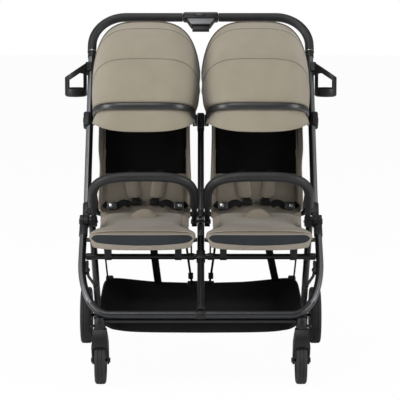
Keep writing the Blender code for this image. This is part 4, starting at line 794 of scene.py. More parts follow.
def leg_rests():
    """Calf rests: a padded lens of taupe cloth, with a dark mesh lens sewn on its face."""
    top_z = LEG_REST_PIVOT[1] + 0.012

    def pad_point(u, v, depth):
        across = 2 * u - 1
        drop = CALF_HEIGHT * v * (1 - 0.16 * across ** 4)
        return across * 0.154 * (1 - CALF_TAPER * v * v), calf_face(across, v, drop, depth), top_z - drop

    for side, sign in SIDES:
        body = "leg_rest_" + side
        x = sign * SEAT_X
        pad = pillow("leg_rest_pad", 40, 12, lambda u, v: pad_point(u, v, 1.0),
                     lambda u, v: pad_point(u, v, 0.0))
        pad.data.transform(Matrix.Translation((x, 0, 0)))
        settled(subdivided(pad), "leg_rest_pad_" + side, "seat_cloth", body, 60, body)

        def lens_point(u, v):
            across = 2 * u - 1
            ends = (1 - abs(across) ** 22) ** 0.5
            lens = (0.0205 + 0.0075 * (1 - abs(across) ** 2)) * max(0.06, ends)
            drop = 0.0012 + 0.0100 * (1 - ends) + v * lens
            share = drop / CALF_HEIGHT
            y = calf_face(across, share, drop) - 0.0009
            return x + across * 0.150 * (1 - CALF_TAPER * share * share), y, top_z - drop

        panel = skin("calf_panel_" + side, sheet_rows(lens_point, 40, 6), 0.0010, "dark_mesh", body,
                     offset=1.0)
        tube("leg_rest_rod_" + side, [(x - 0.104, *LEG_REST_PIVOT), (x + 0.104, *LEG_REST_PIVOT)], 0.0030,
             "black_tube", body, resolution=4)


# Backrests

def back_frame(sign):
    """Axes of a backrest: a across, b up the board from the pivot and the height forwards."""
    return side_frame(BACK_PIVOT, BACK_ANGLE, sign * BACK_X)


def back_share(b):
    return clamped((b - BACK_START) / (BACK_LENGTH - BACK_START))


def back_height(u, v):
    edge = abs(2 * u - 1)
    wing = 0.022 * max(0.0, (edge - 0.62) / 0.38) ** 1.5 * clamped((v - 0.12) / 0.30)
    body = 0.022 * (1 - 0.35 * edge ** 6)
    ends = min(1.0, 0.45 + 4.0 * v) * min(1.0, 0.45 + 4.0 * (1 - v))
    return (body + wing) * ends


def back_half(b):
    return BACK_HALF * (1 - 0.05 * math.sin(math.pi * back_share(b)) ** 2)


def face_height(a, b):
    return back_height(clamped((a / back_half(b) + 1) / 2), back_share(b))


def make_back_cushion():
    def plan(u, v):
        b = BACK_START + 0.003 + (BACK_LENGTH - BACK_START - 0.006) * v
        return (2 * u - 1) * (back_half(b) - 0.003), b

    obj = pillow("back_cushion", 28, 36, lambda u, v: (*plan(u, v), back_height(u, v) - 0.003),
                 lambda u, v: (*plan(u, v), 0.0006), 0.002)
    inflated(obj, 0.0058, 0.005, 0.0003)
    stretched_to(obj, 0, -BACK_HALF, BACK_HALF)
    stretched_to(obj, 1, BACK_START, BACK_LENGTH)
    for vert in obj.data.vertices:
        a, b, h = vert.co
        limit = back_half(b)
        vert.co.x = clamped(a, -limit, limit)
        vert.co.y = clamped(b, BACK_START, BACK_LENGTH)
        if h > 0.006:
            cross = 0.0024 * dent(b - 0.122, 0.005) * (1 - eased((abs(a) - 0.12) / 0.01))
            vert.co.z -= 0.0022 * dent(abs(a) - 0.124, 0.0045) + cross
    return obj


def backs():
    """Backrest cushions: taupe below and at the sides, and in the upper middle a near black panel, partly a
    real mesh panel and partly painted shade from the hood.
    """
    source = make_back_cushion()
    knuckle = ring_profile(0.0086, 0.0122, -0.030, 0.030)
    for side, sign in SIDES:
        body = "backrest_" + side
        matrix = back_frame(sign) @ Matrix.Translation((0, 0, 0.0038))
        cushion = copied(source, "backrest_cover_" + side, matrix, body)
        # Painted shade: faces in the upper middle of the cushion take the near black finish where the hood's
        # shade falls.
        cushion.data.materials.append(FINISH["black_mesh_painted_shade"])
        inverse = matrix.inverted()
        for polygon in cushion.data.polygons:
            a, b, h = inverse @ polygon.center
            if abs(a) < 0.124 and 0.122 < b < 0.462 and h > 0.006:
                polygon.material_index = 1
        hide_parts(body)
        board_half = BACK_HALF - 0.014
        # The board takes the same near black lining finish, partly painted shade.
        block("backrest_board_" + side, (-board_half, 0.004, -0.0035),
              (board_half, BACK_LENGTH - 0.010, 0.0032), "lining_painted_shade", body, 0.0030, back_frame(sign))
        for label, hand in HANDS:
            centre = (sign * BACK_X + hand * 0.085, *BACK_PIVOT)
            lathed(f"back_knuckle_{label}_{side}", knuckle, centre, (1, 0, 0), body=body, steps=40)
        wings(side, sign)
        back_skirt(side, sign)
    bpy.data.objects.remove(source)


def back_skirt(side, sign):
    """Cloth below a backrest cushion that closes the gap behind the seat."""
    def point(u, v):
        across = 2 * u - 1
        h = 0.0160 + 0.0020 * math.sin(math.pi * v) - 0.0020 * abs(across) ** 4
        spot = Vector((across * 0.1385, 0.034 - 0.052 * v, h + 0.0006 * math.sin(across * 19)))
        return back_frame(sign) @ spot

    panel = skin("back_skirt_" + side, sheet_rows(point, 32, 8), 0.0018, "seat_cloth", "backrest_" + side)


def wings(side, sign):
    """Side wings of a backrest: soft panels that stand forward from its edges."""
    for hand in (-1, 1):
        label, flare = ("outer", 0.0085) if hand == sign else ("inner", 0.0010)

        def point(u, v):
            b = 0.002 + 0.453 * v
            reach = 0.016 + 0.050 * math.sin(math.pi * min(1.0, 0.22 + 0.66 * v)) ** 1.2
            wide = 0.0085 + (0.0030 + flare * eased((b - 0.125) / 0.07))
            a = hand * (back_half(b) - 0.0120 + wide * u ** 0.6)
            return back_frame(sign) @ Vector((a, b, 0.008 + (reach + 0.002) * u))

        panel = skin(f"back_wing_{label}_{side}", sheet_rows(point, 8, 20), 0.0030, "seat_cloth",
                     "backrest_" + side)


# Harness

def laid_strap(name, line, half_width, thickness, body, matrix=None):
    """Flat strap along (x, y, z) points whose width runs in its own x and y plane."""
    rings = []
    for index, point in enumerate(line):
        before, after = neighbours(line, index)
        run = (Vector(after) - Vector(before)).normalized()
        across = Vector((-run.y, run.x, 0.0))
        across = across.normalized() if across.length > 1e-4 else Vector((1, 0, 0))
        out = run.cross(across).normalized()
        upper, lower = [], []
        for share in (-1.0, -0.5, 0.0, 0.5, 1.0):
            base = Vector(point) + across * half_width * share
            upper.append(base + out * thickness / 2 * (1 - 0.4 * share ** 4))
            lower.append(base - out * thickness / 2 * (1 - 0.4 * share ** 4))
        rings.append(upper + lower[::-1])
    obj = closed_bar(name, rings, "webbing")
    if matrix:
        obj.data.transform(matrix)
    settled(subdivided(obj), name, "webbing", body, 60)


def make_shoulder_pad(hand):
    """Shoulder pad in a backrest's own axes, stuffed, on the face of the cushion."""
    start, length = 0.043, 0.072

    def plan(u, v):
        b = start + length * v
        middle = hand * (0.034 + 0.14 * (b - start))
        round_end = 1 - 0.35 * max(0.0, 1 - v / 0.18) ** 2 - 0.30 * max(0.0, (v - 0.86) / 0.14) ** 2
        return middle + (2 * u - 1) * 0.0235 * round_end, b

    def top(u, v):
        a, b = plan(u, v)
        return a, b, face_height(a, b) + 0.0110 * (1 - (2 * u - 1) ** 4) + 0.0015

    def low(u, v):
        a, b = plan(u, v)
        return a, b, face_height(a, b) + 0.0010

    return inflated(pillow("shoulder_pad", 10, 22, top, low), 0.004, 0.004, 0.0)


def harness_lines(hand):
    """Lines of a shoulder strap, a buckle strap and a waist strap, in a backrest's own axes."""
    shoulder, buckle, waist = [], [], []
    for share in shares(14):
        a, b = hand * (0.043 + 0.10 * 0.030 * share), 0.105 + 0.030 * share
        shoulder.append((a, b, face_height(a, b) + 0.0024))
    for share in shares(6):
        a, b = hand * (0.0330 - 0.0100 * share), 0.050 - 0.022 * share
        buckle.append((a, b, face_height(a, b) + 0.0058 + 0.004 * math.sin(math.pi * share)))
    for share in shares(12):
        b = 0.016 + 0.009 * math.sin(share * 7.0) + 0.004 * share
        h = 0.0290 + 0.0060 * math.sin(math.pi * share) + 0.003 * math.sin(share * 11.0)
        waist.append((hand * (0.045 + 0.084 * share), b, h))
    return shoulder, buckle, waist


def harnesses():
    sources = {hand: make_shoulder_pad(hand) for hand in (-1, 1)}
    face = face_height(0.03, 0.04)
    # Name, middle and half width across, (b, h) of both corners, finish and bevel
    fittings = (
        ("strap_tongue", 0.027, 0.0155, (0.021, face + 0.004), (0.040, face + 0.0125), "black_plastic",
         0.0025),
        ("strap_slider", 0.103, 0.015, (0.002, 0.0330), (0.027, 0.0420), "gloss_black", 0.0028),
        ("slider_bar", 0.106, 0.0048, (0.0090, 0.0422), (0.0190, 0.0436), "steel", 0.0005),
    )
    for side, sign in SIDES:
        matrix = back_frame(sign) @ Matrix.Translation((0, 0, 0.0042))
        body, cover = "backrest_" + side, "backrest_cover_" + side
        for label, hand in HANDS:
            tail = f"_{label}_{side}"
            pad = copied(sources[hand], "shoulder_pad" + tail, matrix, body)
            if label == "a":
                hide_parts("harness_" + side)
            shoulder, buckle, waist = harness_lines(hand)
            laid_strap("shoulder_strap" + tail, shoulder, 0.0115, 0.0018, body, matrix)
            laid_strap("buckle_strap" + tail, buckle, 0.0105, 0.0022, body, matrix)
            laid_strap("waist_strap" + tail, waist, 0.0110, 0.0018, body, matrix)
            for name, a, half, low, high, key, bevel in fittings:
                block(name + tail, (hand * a - half, *low), (hand * a + half, *high), key, body, bevel,
                      matrix)
        crotch_pad(side, sign)
    for source in sources.values():
        bpy.data.objects.remove(source)


def crotch_pad(side, sign):
    """Wide soft pad with the buckle on it, and the strap that holds it to the seat."""
    x = sign * SEAT_X
    seat = SEAT_TOP_Z + SEAT_THICKNESS

    def plan(u, v):
        across = 2 * u - 1
        depth = (1 - abs(across) ** 2.4) ** 0.5
        return x + across * 0.046, 0.018 + (2 * v - 1) * 0.023 * max(0.12, depth)

    def top(u, v):
        dome = (1 - abs(2 * u - 1) ** 2.2) * (1 - (2 * v - 1) ** 4)
        return *plan(u, v), seat + 0.0060 + 0.0260 * dome

    pad = pillow("crotch_pad_" + side, 16, 10, top, lambda u, v: (*plan(u, v), seat + 0.0035))
    settled(subdivided(pad, 2), "crotch_pad_" + side, "taupe_cloth", "chassis", 60, "buckle_" + side)
    block("buckle_shell_" + side, (x - 0.0200, 0.026, seat + 0.0035), (x + 0.0200, 0.064, seat + 0.0175),
          bevel=0.0035)
    line = [(x, -0.062 + 0.060 * share, SEAT_TOP_Z + SEAT_THICKNESS * 0.99 + 0.0016) for share in shares(8)]
    laid_strap("crotch_strap_" + side, line, 0.0120, 0.0016, "chassis")
    refined("buckle_button_" + side, "buckle_button_" + side, 0.0006, key="grey_trim")


# Frame

def corner_points(make, start, corner_start, radius_along, radius_across, end_x, x, sign):
    """Points along a side tube, round its corner and inwards to end_x."""
    steps = 20
    points = line_of(make, sign * x, start, corner_start)
    for index in range(1, steps + 1):
        a = math.radians(90 * index / steps)
        reach = corner_start + radius_along * math.sin(a)
        points.append(make(reach, sign * (x - radius_across * (1 - math.cos(a)))))
    points.append(make(corner_start + radius_along, sign * end_x))
    return points


def painted_highlight_and_sleeve(obj, sign, limit, lowest=-1.0):
    """Painted highlight on a dark tube: faces that look outwards keep its pale grey, a painted reflection of
    the side lamps; faces that look inwards get the black finish, and faces below a height the dark finish of
    the corner sleeve.
    """
    obj.data.materials.append(FINISH["black_tube"])
    obj.data.materials.append(FINISH["frame_tube"])
    for polygon in obj.data.polygons:
        if polygon.center.z < lowest:
            polygon.material_index = 2
        elif polygon.normal.x * sign < limit:
            polygon.material_index = 1


def basket_links(side, sign):
    """Short flat link and bolt heads inside a front tube, beside the basket."""
    points = [leg_point(reach, sign * x)
              for reach, x in ((0.172, 0.3365), (0.215, 0.3290), (0.252, 0.3080), (0.262, 0.2960))]
    tube("basket_link_" + side, points, 0.0042, resolution=4)
    head = [(0.0, 0.0), (0.0075, 0.0), (0.0080, 0.001), (0.0074, 0.0046), (0.0045, 0.0052), (0.0, 0.0052)]
    for label, reach, x in (("a", 0.190, 0.3330), ("b", 0.252, 0.3060)):
        spot = leg_point(reach, sign * x)
        lathed(f"link_bolt_{label}_{side}", head, (spot.x, spot.y - 0.0030, spot.z), (0, -1, 0.15), steps=32)
    block("link_mount_" + side, (sign * 0.3390, 0.160, -0.0085), (sign * 0.3300, 0.205, 0.0085), bevel=0.003,
          turn=LEG_FRAME)


def front_side(side, sign):
    """Front tube with its hinge at the seat corner."""
    points = corner_points(leg_point, 0.056, LEG_LENGTH - LEG_CORNER_REACH, LEG_CORNER_REACH,
                           LEG_CORNER_WIDTH, CROSSBAR_END, LEG_X, sign)
    leg = tube("front_tube_" + side, points, TUBE_RADIUS, "tube_painted_highlight", node="front_leg_" + side)
    # Painted highlight: the outward faces stay pale grey, the inward faces turn black and the corner below
    # 0.245 m takes the dark sleeve finish.
    painted_highlight_and_sleeve(leg, sign, limit=0.05, lowest=0.245)
    tube("leg_neck_" + side, line_of(leg_point, sign * LEG_X, 0.0245, 0.058, 0.0605), 0.0130,
         radii=[1.0, 1.0, 0.92])
    basket_links(side, sign)
    low, high, radius = 0.3512, 0.3630, 0.020
    depth = high - low
    disc = [(0.0045, 0.0), (radius - 0.001, 0.0), (radius, 0.001), (radius, depth - 0.0015),
            (radius - 0.0015, depth), (radius * 0.70, depth), (radius * 0.66, depth - 0.0008),
            (radius * 0.50, depth - 0.0008), (radius * 0.46, depth), (0.0045, depth)]
    lathed("leg_hinge_" + side, disc, (sign * low, *FOLD_PIVOT), (sign, 0, 0), steps=48)
    block("leg_bridge_" + side, (sign * low, 0.004, -0.011), (sign * 0.3628, 0.034, 0.011), bevel=0.003,
          turn=LEG_FRAME)
    pin = [(0.0, 0.0), (0.0040, 0.0), (0.0040, 0.0547), (0.0088, 0.0547), (0.0090, 0.0560), (0.0080, 0.0570),
           (0.0, 0.0570)]
    lathed("hinge_pin_" + side, pin, (sign * 0.3085, *FOLD_PIVOT), (sign, 0, 0), "grey_trim", steps=32)


def push_side(side, sign):
    """Side tube of the push frame with the hood's clip, the grip and the bumper's sockets."""
    x = sign * PUSH_X
    upright = tube("side_tube_dressed_" + side, line_of(push_point, x, 0.060, GRIP_START - 0.0003),
                   TUBE_RADIUS, "tube_painted_highlight", "push_frame", node="side_tube_" + side)
    # Painted highlight: the outward faces stay pale grey and the inward faces turn black.
    painted_highlight_and_sleeve(upright, sign, limit=0.10)
    block("hood_clip_" + side, (sign * (PUSH_X - 0.002), HUB_TOP_START, -0.0145),
          (sign * 0.3620, 0.378, 0.0145), body="push_frame", bevel=0.0065, turn=PUSH_FRAME, segments=4)
    cap = [(0.0, 0.0), (0.0085, 0.0), (0.0085, 0.0008), (0.0075, 0.0016), (0.0, 0.0016)]
    lathed("hood_clip_cap_" + side, cap, (sign * 0.3615, *HOOD_PIVOT), (sign, 0, 0), "gloss_black",
           "push_frame", steps=32)
    refined("hinge_cap_" + side, "push_frame")
    grip = corner_points(push_point, GRIP_START, PUSH_LENGTH - HANDLE_CORNER, HANDLE_CORNER, HANDLE_CORNER,
                         GRIP_END_X, PUSH_X, sign)
    tube("handle_cover_" + side, grip, GRIP_RADIUS, "leatherette", "push_frame", resolution=10,
         node="handle_grip_" + side)
    tube("grip_ring_" + side, line_of(push_point, x, GRIP_START + 0.0004, GRIP_START + 0.0030),
         GRIP_RADIUS + 0.0004, "steel", "push_frame")
    tube("grip_collar_" + side, line_of(push_point, x, GRIP_START - 0.020, GRIP_START - 0.0012), 0.0126,
         body="push_frame")
    refined("bumper_socket_outer_" + side, "bumper_sockets_" + side)
    refined("bumper_socket_inner_" + side, "bumper_sockets_" + side)


def rear_side(side, sign):
    """Rear leg with its eyes on the fold pivot and on the axle."""
    rear_angle = angle_to(FOLD_PIVOT, REAR_AXLE)
    strut = [at(FOLD_PIVOT, rear_angle, reach, sign * REAR_LEG_X)
             for reach in (REAR_LEG_INSET, REAR_LEG_LENGTH - REAR_LEG_INSET)]
    tube("rear_tube_" + side, strut, 0.0105, "black_tube", "rear_frame", node="rear_leg_" + side)
    for label, origin, low, high, radius in (("upper", FOLD_PIVOT, 0.3232, 0.3364, 0.016),
                                             ("lower", REAR_AXLE, 0.3140, 0.3415, 0.017)):
        lathed(f"rear_eye_{label}_{side}", ring_profile(0.0053, radius, 0.0, high - low),
               (sign * low, *origin), (sign, 0, 0), body="rear_frame", steps=40)


def frame_tubes():
    for side, sign in SIDES:
        front_side(side, sign)
        push_side(side, sign)
        rear_side(side, sign)
    cross_tube("front_bar", CROSSBAR_END + 0.001, *FRONT_BAR, TUBE_RADIUS, "frame_tube",
               node="front_crossbar")
    rail_z = FRONT_BAR[1] - 0.011 - 0.007 - 0.0003
    cross_tube("basket_rail_tube", CASTER_X - 0.0163, CASTER_Y, rail_z, 0.0070, node="basket_rail")
    _, y, z = leg_point(SEAT_TUBE_REACH, 0.0)
    cross_tube("seat_tube", LEG_X - 0.0113, y, z, 0.0085, node="seat_cross_tube")
    for label, x in zip("abcd", (-0.328, -0.030, 0.030, 0.328)):
        cross_tube("seat_tube_sleeve_" + label, 0.010, y, z, 0.0105, "black_plastic", x)
    tube("middle_post", line_of(leg_point, 0.0, 0.045, LEG_LENGTH - 0.0113), 0.0105, "black_tube")
    tube("middle_post_foot", line_of(leg_point, 0.0, LEG_LENGTH - 0.026, LEG_LENGTH - 0.0114), 0.0128)
    tube("middle_bracket", [(x, *FRONT_BAR) for x in (-0.0145, -0.0135, 0.0135, 0.0145)], 0.0126,
         radii=[0.92, 1.0, 1.0, 0.92])
    refined("centre_post_lower", key="black_tube", name="middle_hinge_lower")
    refined("centre_post_upper", "push_frame", key="black_tube", name="middle_hinge_upper")
    tube("middle_post_upper", line_of(push_point, 0.0, 0.030, 0.3255), 0.0096, "black_tube", "push_frame")
    block("middle_head", (-0.0109, 0.318, -0.0151), (0.0109, 0.372, 0.0151), body="push_frame", bevel=0.004,
          turn=PUSH_FRAME, segments=4)
    y, z = BACK_PIVOT
    inner = PUSH_X - TUBE_RADIUS - 0.0003
    corner_x = inner - 0.0086
    start = push_point(0.115, 0.0)
    half = [(inner, start.y, start.z), (corner_x, start.y, start.z), (corner_x, y - 0.012, z + 0.034),
            (corner_x, y - 0.004, z + 0.014), (corner_x - 0.006, y, z + 0.003), (corner_x - 0.018, y, z)]
    points = half + [(-px, py, pz) for px, py, pz in reversed(half)]
    tube("back_tube", points, 0.0080, "black_tube", "push_frame", node="back_hoop")
    refined("rear_axle", "rear_frame", 0.0010, key="black_tube")
    refined("brake_pedal", "brake_pedal", 0.0018, 3)


def handle_middle():
    """Casing, pale lever plate and button in the middle of the handle."""
    refined("fold_housing", "push_frame", 0.0010)
    refined("fold_lever", "fold_lever")
    refined("fold_button", "fold_button", 0.0006, key="gloss_black")
    turn = side_frame(HANDLE_CENTRE, PUSH_ANGLE)
    half_top, half_low, top, low = 0.0425, 0.0300, -0.0125, -0.0330

    def narrowed(obj):
        for vert in obj.data.vertices:
            if vert.co.y < (top + low) / 2:
                vert.co.x *= half_low / half_top

    block("handle_plate", (-half_top, low, 0.0105), (half_top, top, 0.0135), "grey_trim", "push_frame",
          0.0010, turn, shape=narrowed)
    block("handle_stripe", (-0.0545, 0.0048, 0.0144), (0.0545, 0.0078, 0.0166), "grey_trim", "push_frame",
          0.0008, turn)


def bumpers():
    """Padded bumper bars with thin ends."""
    thin = 0.0085 / 0.0140
    leads = [(0.045, thin), (0.0785, thin), (0.0800, 0.86), (0.0825, 1.0)]
    height = BUMPER_REACH - BUMPER_BASE
    for side, sign in SIDES:
        def over(half, rise, count=61):
            return [bumper_point(BUMPER_BASE + up, sign * (BUMPER_X + x))
                    for x, up in arch(half, rise, 3.4, count)]

        def ends(x, order):
            return [bumper_point(reach, sign * x) for reach, _ in order]

        bend = over(BUMPER_HALF, height)
        points = ends(BUMPER_X + BUMPER_HALF, leads) + bend + ends(BUMPER_X - BUMPER_HALF, leads[::-1])
        lead_radii = [radius for _, radius in leads]
        radii = lead_radii + [1.0] * len(bend) + lead_radii[::-1]
        tube("bumper_cover_" + side, points, 0.0140, "leatherette", "bumper_" + side, radii, 10,
             node="bumper_bar_" + side)
        seam = over(BUMPER_HALF - 0.0125, height - 0.0125)[6:-6]
        tube("bumper_seam_" + side, seam, 0.0020, "piping_dark", "bumper_" + side, resolution=3)


# Wheels

def tyre_profile(radius, half, inner):
    """Rounded tyre with shallow grooves in its tread, as (radius, along) pairs."""
    corner = 0.0085

    def shoulder(end, first):
        angles = [math.radians(first + 62 * index / 8) for index in range(9)]
        return [(radius - corner + corner * math.cos(a), (half - corner) * end + corner * math.sin(a))
                for a in angles]

    points = [(inner, -half * 0.80)] + shoulder(-1, -80)
    for x in (-0.0062, -0.0055, -0.0043, -0.0036, 0.0036, 0.0043, 0.0055, 0.0062):
        deep = 0.0012 if abs(abs(x) - 0.0049) < 0.0010 else 0.0
        points.append((radius - deep, x))
    return points + shoulder(1, 18) + [(inner, half * 0.80)]


def cut_windows(rim, centre, low, high):
    """Cuts the five openings between the spokes of a rim."""
    half_depth = 0.04
    outline = [(high, -24), (high, -12), (high, 0), (high, 12), (high, 24), (low, 13), (low, -13)]
    count = len(outline)
    faces = [tuple(range(count))[::-1], tuple(range(count, 2 * count))]
    faces += [(i, (i + 1) % count, count + (i + 1) % count, count + i) for i in range(count)]
    for index in range(5):
        middle = math.radians(72 * (index + 0.5))
        corners = [(reach, middle + math.radians(a)) for reach, a in outline]
        bottom = [Vector((-half_depth, reach * math.cos(a), reach * math.sin(a))) for reach, a in corners]
        top = [point + Vector((2 * half_depth, 0, 0)) for point in bottom]
        window = shell("window", [point + Vector(centre) for point in bottom + top], faces)
        cut(rim, cleaned(window))


def wheel_set(side, sign, label, x, axle, radius, width, bore):
    body = f"{label}_wheel_{side}"
    half = width / 2
    inner = radius - 0.016
    centre = (sign * x, axle[0], axle[1])
    lathed(f"{label}_tyre_dressed_{side}", tyre_profile(radius, half, inner + 0.0003), centre, (1, 0, 0),
           "tyre", body, steps=72, smooth=50, node=f"{label}_tyre_{side}")
    outer = [(bore, half * 0.88), (0.0150, half * 0.88), (0.0160, half * 0.80), (0.0190, half * 0.36),
             (inner - 0.008, half * 0.36), (inner - 0.002, half * 0.74), (inner, half * 0.80)]
    profile = outer + [(reach, -along) for reach, along in reversed(outer)]
    rim = lathed(f"{label}_rim_dressed_{side}", profile, centre, (1, 0, 0), body=None, steps=72)
    cut_windows(rim, centre, 0.0240, inner - 0.0125)
    settled(rounded(rim, 0.0008, 2, 50), rim.name, "black_plastic", body, 35, f"{label}_rim_{side}")
    if label == "rear":
        cap = [(0.0, 0.0), (0.0095, 0.0), (0.0110, 0.0012), (0.0105, 0.0030), (0.0070, 0.0044), (0.0, 0.0048)]
        lathed(f"rear_cap_{side}", cap, (sign * (x + half * 0.88 + 0.0004), *axle), (sign, 0, 0), "grey_trim",
               body, steps=40)


def tapered_fork(obj):
    """Draws the top of a fork in towards its stem."""
    middle = math.copysign(CASTER_X, obj.data.vertices[0].co.x)
    for vert in obj.data.vertices:
        if abs(vert.co.x - middle) > 0.0135:
            share = clamped((vert.co.z - 0.118) / 0.050)
            vert.co.x = middle + (vert.co.x - middle) * (1 - 0.24 * share)


def wheels():
    sleeve = [(0.0120, 0.1712), (0.0165, 0.1712), (0.0168, 0.1730), (0.0168, 0.1930), (0.0163, 0.1945),
              (0.0120, 0.1945)]
    for side, sign in SIDES:
        wheel_set(side, sign, "rear", REAR_WHEEL_X, REAR_AXLE, radius=0.090, width=0.034, bore=0.0056)
        wheel_set(side, sign, "front", CASTER_X, FRONT_AXLE, radius=0.070, width=0.032, bore=0.0046)
        refined("caster_fork_" + side, "caster_" + side, 0.0050, 4, shape=tapered_fork)
        refined("caster_housing_" + side, bevel=0.0010)
        lathed("caster_sleeve_" + side, sleeve, (sign * CASTER_X, CASTER_Y, 0.0), (0, 0, 1), steps=48)


# Basket

def basket_edge(u, v):
    """Point of the basket's rim: u from -1 to 1 across, v from 0 at the front to 1 behind."""
    sag = BASKET_SAG * v * (1 - abs(u) ** 2.5)
    return Vector((BASKET_HALF * u, BASKET_FRONT_Y + (BASKET_REAR_Y - BASKET_FRONT_Y) * v,
                   BASKET_RIM_Z + BASKET_RIM_RISE * v - sag))


def basket_loop(count):
    loop = []
    for index in range(count):
        a = 2 * math.pi * index / count
        u, w = power(math.cos(a), 2 / BASKET_POWER), power(math.sin(a), 2 / BASKET_POWER)
        loop.append((u, (w + 1) / 2))
    return loop


def basket_tub():
    """Cloth tub that sags, with a bound rim."""
    loop = basket_loop(120)
    levels = ((0.0, 1.0), (0.22, 0.992), (0.5, 0.978), (0.75, 0.955), (0.90, 0.925), (0.97, 0.88),
              (1.0, 0.82), (1.0, 0.60), (1.0, 0.30), (1.0, 0.02))
    middle_y = (BASKET_FRONT_Y + BASKET_REAR_Y) / 2
    rows = []
    for depth, size in levels:
        row = []
        for index, (u, v) in enumerate(loop):
            edge = basket_edge(u, v)
            z = edge.z + (BASKET_FLOOR_Z - edge.z) * depth
            z -= 0.0055 * max(0.0, depth - 0.9) / 0.1 * (1 - (edge.x * size / BASKET_HALF) ** 2)
            ripple = 0.0016 * math.sin(index * 0.9) * math.sin(math.pi * depth) if size > 0.9 else 0
            row.append((edge.x * size, middle_y + (edge.y - middle_y) * (size - ripple * 2), z))
        rows.append(row)
    tub = skin("basket_cloth", rows, 0.0022, "webbing_soft", None, levels=0, closed=True, offset=1.0,
               cap=True)
    settled(cleaned(tub), "basket_cloth", "webbing_soft", "chassis", 60, "basket")
    rim = [basket_edge(u, v) + Vector((0, 0, 0.0005)) for u, v in loop]
    hem = tube("basket_hem", rim, 0.0028, "webbing", resolution=4, closed=True)


def hung_strap(name, top, low, width):
    """Strap from a seat board to the basket's rim, made as a sheet."""
    rows = []
    for share in shares(12):
        sag = 0.010 * math.sin(math.pi * share)
        point = top.lerp(low, share) + Vector((0, -sag, -sag * 0.4))
        rows.append([point + Vector((-width, 0, 0)), point + Vector((width, 0, 0))])
    strap = skin(name, rows, 0.0018, "webbing", "chassis", levels=0)


def basket():
    """Tub with straps to the seats, corner pieces and a stiffener behind."""
    basket_tub()
    for side, sign in SIDES:
        hanging = (0.151, 0.134) if sign < 0 else (0.199, 0.236)
        for label, top_x, low_x, width in (("a", *hanging, 0.0115), ("b", 0.300, 0.2900, 0.0026),
                                           ("c", 0.050, 0.027, 0.0035)):
            u = low_x / BASKET_HALF
            w = (1 - u ** BASKET_POWER) ** (1 / BASKET_POWER)
            edge = basket_edge(u, (w + 1) / 2)
            top = Vector((sign * top_x, SEAT_REAR_Y - 0.012, 0.3927))
            low = Vector((sign * low_x, edge.y - 0.0015, edge.z - 0.004))
            hung_strap(f"basket_strap_{label}_{side}", top, low, width)
        hook, hook_half = top.lerp(low, 0.80) + Vector((0, -0.006, -0.003)), Vector((0.008, 0.004, 0.010))
        block("basket_hook_" + side, hook - hook_half, hook + hook_half)
        corner = basket_edge(sign * 0.955, 0.955)
        block("basket_corner_" + side, corner - Vector((0.012, 0.010, 0.020)),
              corner + Vector((0.012, 0.010, 0.0075)), bevel=0.0055, segments=4)
    _, y, z = basket_edge(0.0, 1.0)
    block("basket_stiffener", (-0.042, y - 0.0050, z - 0.012), (0.042, y + 0.0010, z + 0.010))


def seat_undersides():
    """Boards and hangers under the seats, and the thin rods beside the hangers."""
    _, y, z = leg_point(SEAT_TUBE_REACH, 0.0)
    for side, sign in SIDES:
        refined("seat_board_" + side, bevel=0.0008)
        for label, offset in (("a", -0.1445), ("b", 0.1475)):
            x = sign * (SEAT_X + offset)
            tube(f"seat_rod_{label}_{side}", [(x, y + 0.002, z + 0.004), (x, y + 0.004, 0.3945)], 0.0026,
                 "black_tube", resolution=4)


for side, sign in SIDES:
    hood(side, sign)
    bow(side, sign)
seats()
leg_rests()
backs()
for side, sign in SIDES:
    hood_back(side, sign)
harnesses()
frame_tubes()
handle_middle()
bumpers()
wheels()
for side, sign in SIDES:
    refined("cup_holder_" + side, "push_frame")
basket()
seat_undersides()


# Studio

def seen_white(tree, share, plain, white):
    """Mix of a plain surface and a white one that only the camera's own rays see."""
    return add_node(tree, "MixShader", {"Fac": share, 1: plain, 2: white}).outputs[0]


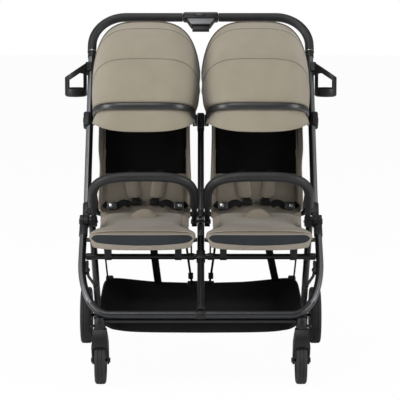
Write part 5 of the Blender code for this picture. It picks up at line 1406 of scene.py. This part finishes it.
def studio():
    """White world, and a floor that keeps the stroller's shadow."""
    world = bpy.data.worlds.new("studio")
    bpy.context.scene.world = world
    world.use_nodes = True
    tree = world.node_tree
    tree.nodes.clear()
    soft = add_node(tree, "Background", Strength=0.13, Color=(1, 1, 1, 1))
    seen = add_node(tree, "Background", Strength=1.0, Color=(1, 1, 1, 1))
    path = add_node(tree, "LightPath").outputs["Is Camera Ray"]
    add_node(tree, "OutputWorld", {"Surface": seen_white(tree, path, soft.outputs[0], seen.outputs[0])})
    deselect()
    bpy.ops.mesh.primitive_plane_add(size=30.0, location=(0, 0, -0.0005))
    floor = bpy.context.object
    floor.name = "floor"
    made = bpy.data.materials.new("pale floor")
    made.use_nodes = True
    tree = made.node_tree
    shader = tree.nodes["Principled BSDF"]
    shader.inputs["Base Color"].default_value = (0.92, 0.92, 0.92, 1)
    shader.inputs["Roughness"].default_value = 0.9
    shader.inputs["Specular IOR Level"].default_value = 0.1
    white = add_node(tree, "Emission", Strength=1.0)
    path = add_node(tree, "LightPath").outputs["Is Camera Ray"]
    share = add_node(tree, "Math", {0: path}, operation="MULTIPLY")
    share.inputs[1].default_value = 0.97
    surface = seen_white(tree, share.outputs[0], shader.outputs[0], white.outputs[0])
    tree.links.new(surface, tree.nodes["Material Output"].inputs["Surface"])
    floor.data.materials.append(made)


def lamp(name, place, target_z, size, watts):
    light = bpy.data.lights.new(name, "AREA")
    light.energy = watts
    light.size = size
    obj = linked(name, light)
    obj.location = place
    obj.rotation_euler = (Vector((0, 0, target_z)) - Vector(place)).to_track_quat("-Z", "Y").to_euler()


def camera():
    """Camera at the photograph's place."""
    focal_pixels, photo_pixels, sensor = 1938.84, 400, 36.0
    data = bpy.data.cameras.new("camera")
    data.sensor_width = sensor
    data.lens = focal_pixels / photo_pixels * sensor
    obj = linked("camera", data)
    obj.location = (-0.0024, -5.8265, 1.3011)
    downwards = 0.13704
    obj.rotation_euler = (math.pi / 2 - downwards, 0.0, 0.0)
    bpy.context.scene.camera = obj


studio()
lamp("key", (-1.0, -2.8, 4.9), 0.6, 2.2, 102)
lamp("left side", (-4.2, -1.6, 2.2), 0.6, 2.8, 150)
lamp("right side", (4.2, -1.6, 2.2), 0.6, 2.8, 128)
lamp("top", (0.0, 1.2, 4.6), 0.5, 2.4, 30)
camera()
bpy.context.scene.view_settings.view_transform = "Standard"
